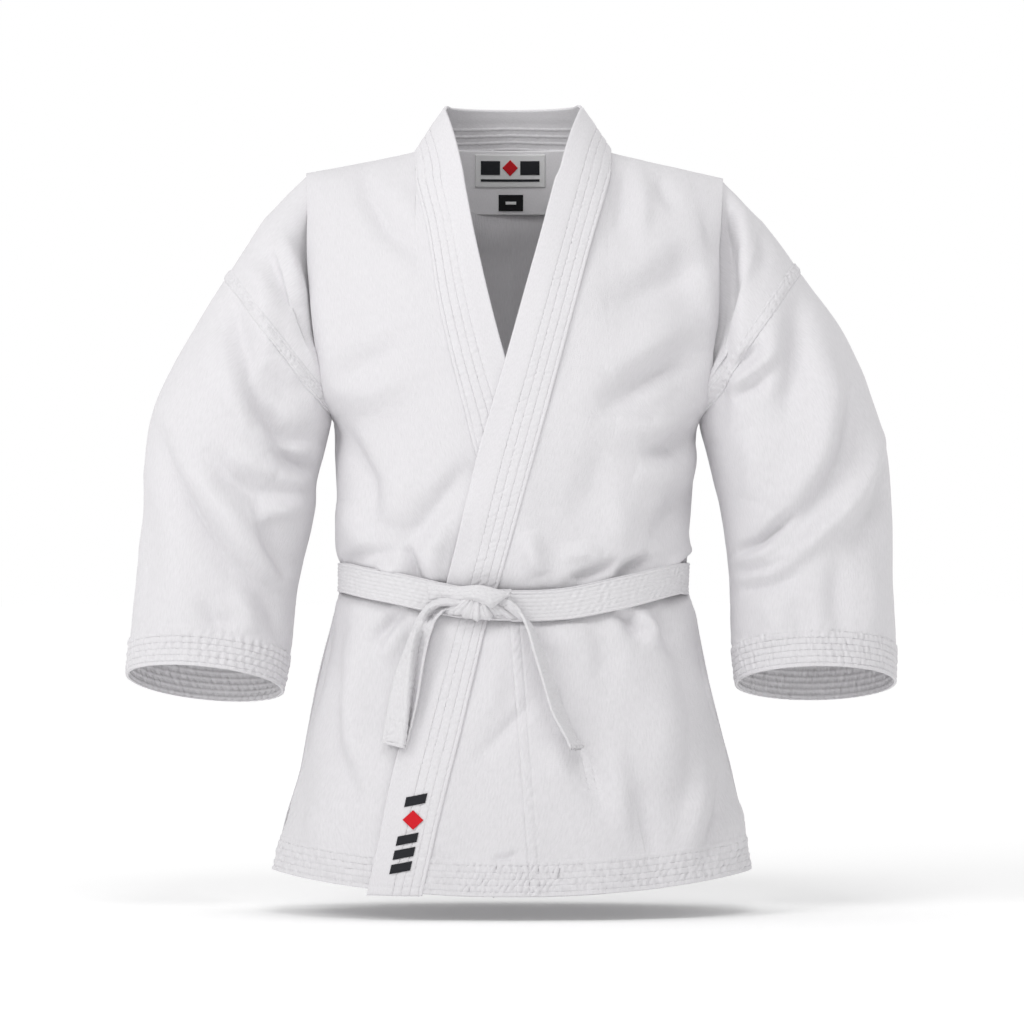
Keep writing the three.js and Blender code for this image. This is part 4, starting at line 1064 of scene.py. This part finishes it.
right_tail, points = net_piece(
    "right_belt_tail", RIGHT_TAIL, 190, 56, 2.6, TAIL_ROWS, 101, BELT_WIDTH, 0.3, box=True)
finish_piece(right_tail, BELT, ["right_belt_tail", "right_belt_tip"], body="right_belt_tail")
left_tail, points = net_piece(
    "left_belt_tail", LEFT_TAIL, 190, 48, 3.0, TAIL_ROWS, 102, BELT_WIDTH, 0.3, fray=1.8)
finish_piece(left_tail, BELT, ["left_belt_tail", "left_belt_tip"], body="left_belt_tail")
band_over, points = net_piece(
    "knot_band", np.array(KNOT_BAND).transpose(1, 0, 2), 110, 36, 2.8,
    [3, 8, 13, 18], 103, 21.0, 0.25, band_crease)
finish_piece(band_over, BELT, ["belt_knot_band"], body="jacket")
knot, points = net_piece("belt_knot", KNOT, 60, 150, 2.6, [], 104, 24.0, 0.0, knot_pleats)
finish_piece(knot, BELT, ["belt_knot"], body="jacket")


# --- neck lining, label and tab, seen inside the back -----------------------------------------
def back_patch(name, x0, x1, z0, z1, depth, thick, columns, rows, round_edge=0.5):
    x = np.linspace(x0, x1, columns)[None, :]
    z = np.linspace(z0, z1, rows)[:, None]
    points = body(x + 0 * z, z + 0 * x, 1)
    n = facing(points, normals(points), (0, -60))
    moved = points - n * depth
    w = np.minimum(np.minimum(x - x0, x1 - x), np.minimum(z0 - z, z - z1))
    uv = uv_of(x, z)
    return grid_object(name, moved, n, rounded(w + 0.15, thick, round_edge), uv), moved


lining, points = back_patch("neck_lining", -60, 60, 7.0, -60, 2.4, 0.8, 100, 60)
finish_piece(lining, LINING, ["neck_lining"], body="jacket")
label, points = back_patch("neck_label", -40, 36, 3.4, -30.5, 3.6, 0.8, 80, 40)
finish_piece(label, LABEL, ["neck_label"], body="jacket")
tab, points = back_patch("size_tab", -14.5, 12, -38.5, -55.5, 3.5, 0.9, 30, 20)
finish_piece(tab, BLACK, ["size_tab"], body="jacket")
LABEL_MARKS = [
    ("label_bar_right", -34, -13, -3, -17.5, CHARCOAL), ("label_bar_left", 9, 30, -3, -17.5, CHARCOAL),
    ("label_line", -34, 30, -22, -24.5, CHARCOAL)]
for name, x0, x1, z0, z1, material in LABEL_MARKS:
    made, points = back_patch(name, x0, x1, z0, z1, 4.3, 0.5, 24, 10, 0.6)
    finish_piece(made, material, body="jacket")
    sewn_on.setdefault(label.name, []).append(made)
made, points = back_patch("tab_line", -7, 4.5, -45.5, -48.5, 4.2, 0.4, 16, 8, 0.6)
finish_piece(made, LABEL, body="jacket")
sewn_on[tab.name] = [made]


def diamond(name, centre_x, centre_z, reach_x, reach_z, place):
    """A small four-cornered patch laid on a surface by place(x, z)."""
    a = np.linspace(-1, 1, 20)[None, :]
    b = np.linspace(-1, 1, 20)[:, None]
    x = centre_x + reach_x * (a + b) / 2
    z = centre_z + reach_z * (b - a) / 2
    points, n = place(x, z)
    edge = np.minimum(1 - np.abs(a), 1 - np.abs(b)) * min(reach_x, reach_z) / 2
    made = grid_object(name, points, n, rounded(edge + 0.15, 0.9, 0.7), uv_of(x, z))
    return made, points


def on_back(x, z):
    points = body(x, z, 1)
    n = facing(points, normals(points), (0, -60))
    return points - n * 4.3, n


made, points = diamond("label_diamond", -2, -10.2, 8.5, 8.5, on_back)
finish_piece(made, RED, body="jacket")
sewn_on[label.name].append(made)


# --- embroidered mark near the over lapel's end -----------------------------------------------
def on_lapel(x, z):
    points = body(x, z, -1)
    n = facing(points, normals(points), (-90, 60))
    return points + n * (8.0 + 0.75 * front_relief(x, z))[..., None], n


BAR_SLOPE = 0.21


def lapel_bar(name, z0, z1, share0, share1, material):
    """A satin-stitched bar across the lapel, lying square to its edges."""
    a = np.linspace(0, 1, 30)[None, :]
    b = np.linspace(0, 1, 14)[:, None]
    z = lerp(z0, z1, b) + 0 * a
    left, right = OVER_INNER(z), OVER_OUTER(z)
    share = lerp(share0, share1, a)
    x = lerp(left, right, share)
    z = z + (x - (left + right) / 2) * BAR_SLOPE
    points, n = on_lapel(x, z)
    w = np.minimum(np.minimum(a, 1 - a) * abs(share1 - share0) * 55, np.minimum(b, 1 - b) * abs(z0 - z1))
    ribs = 0.12 * np.sin(2 * np.pi * (z * 1.0) / 1.1)
    made = grid_object(name, points + n * ribs[..., None], n, rounded(w + 0.15, 1.0, 0.9), uv_of(z, x))
    finish_piece(made, material, between=FRONT_BEND)
    sewn_on.setdefault(band.name, []).append(made)
    return made


MARK_LOW, MARK_HIGH = 0.33, 0.70
first = lapel_bar("mark_bar_1", -669, -679, MARK_LOW, MARK_HIGH, CHARCOAL)
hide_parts("lapel_mark")
made, points = diamond("mark_diamond", -99.5, -694.0, 10.5, 10.0, on_lapel)
finish_piece(made, RED, between=FRONT_BEND)
sewn_on[band.name].append(made)
for k, z in enumerate((-709, -723.5, -738)):
    lapel_bar(f"mark_bar_{k + 2}", z, z - 9.5, MARK_LOW, MARK_HIGH, CHARCOAL)


# --- hidden ties ------------------------------------------------------------------------------
def strap(name, x0, x1, out, nodes):
    """A strap hidden behind the belt, along its line."""
    x = np.linspace(x0, x1, 60)[None, :]
    z = BELT_LINE(x) + np.linspace(6, -6, 12)[:, None]
    points = body(x + 0 * z, z + 0 * x, -1)
    n = facing(points, normals(points), (0, 60))
    moved = points + n * (out + front_relief(x + 0 * z, z + 0 * x) * 0.8)[..., None]
    made = grid_object(name, moved, n, 1.2, uv_of(x, z))
    finish_piece(made, LINING, nodes, body="jacket")


strap("inner_tie_front", 67, 114, 1.2, ["inner_tie_front"])
strap("inner_tie_side", 116, 168, -1.6, ["inner_tie_side"])
strap("outer_tie", -67.5, -170, 2.2, ["outer_tie"])

# --- studio -----------------------------------------------------------------------------------
def plain_material(name, colour, emission=0.0):
    made = bpy.data.materials.new(name)
    made.use_nodes = True
    fill(made.node_tree, made.node_tree.nodes["Principled BSDF"], {
        "Base Color": (*colour, 1), "Roughness": 1.0, "Specular IOR Level": 0.0,
        "Emission Color": (1, 1, 1, 1), "Emission Strength": emission})
    return made


def plane(name, size, location, rotation, material):
    mesh = bpy.data.meshes.new(name)
    w, h = size[0] / 2, size[1] / 2
    mesh.from_pydata([(-w, -h, 0), (w, -h, 0), (w, h, 0), (-w, h, 0)], [], [(0, 1, 2, 3)])
    made = bpy.data.objects.new(name, mesh)
    bpy.context.scene.collection.objects.link(made)
    made.location, made.rotation_euler = location, rotation
    made.data.materials.append(material)
    return made


def softbox(name, energy, size, location, target):
    data = bpy.data.lights.new(name, "AREA")
    data.shape, data.size, data.size_y = "RECTANGLE", size[0], size[1]
    data.energy = energy
    made = bpy.data.objects.new(name, data)
    bpy.context.scene.collection.objects.link(made)
    made.location = location
    made.rotation_euler = (Vector(target) - Vector(location)).to_track_quat("-Z", "Y").to_euler()
    return made


# The floor glows, which is painted light: the glow is weaker near the jacket, a painted shade that deepens
# its contact shadow, and stronger far off, where it hides the horizon.
glowing_floor = plain_material("floor", (0.93, 0.93, 0.93), 0.3)
tree = glowing_floor.node_tree
place = add_node(tree, "TexCoord", {})
reach = add_node(tree, "VectorMath", {0: place.outputs["Object"]}, "LENGTH")
glow = add_node(tree, "MapRange", {
    "From Min": 0.4, "From Max": 3.0, "To Min": 0.13, "To Max": 0.34, "Value": reach.outputs["Value"]})
fill(tree, tree.nodes["Principled BSDF"], {"Emission Strength": glow.outputs["Result"]})
plane("floor", (40, 40), (0, 0, -0.796), (0, 0, 0), glowing_floor)
softbox("key", 37, (1.5, 1.5), (-2.3, -2.3, 1.5), (0, 0, -0.4))
softbox("front", 29, (1.4, 1.0), (0.2, -2.3, 2.5), (0, 0, -0.1))
world = bpy.data.worlds.new("world")
bpy.context.scene.world = world
world.use_nodes = True
sky = world.node_tree
direction = add_node(sky, "TexCoord", {})
parts = add_node(sky, "SeparateXYZ", {"Vector": direction.outputs["Generated"]})
brightness = add_node(sky, "MapRange", {
    "From Min": -0.1, "From Max": 0.8, "To Min": 0.6, "To Max": 1.0, "Value": parts.outputs["Y"]})
fill(sky, sky.nodes["Background"], {"Color": (1, 1, 1, 1), "Strength": brightness.outputs["Result"]})
bpy.context.scene.view_settings.view_transform = "Standard"
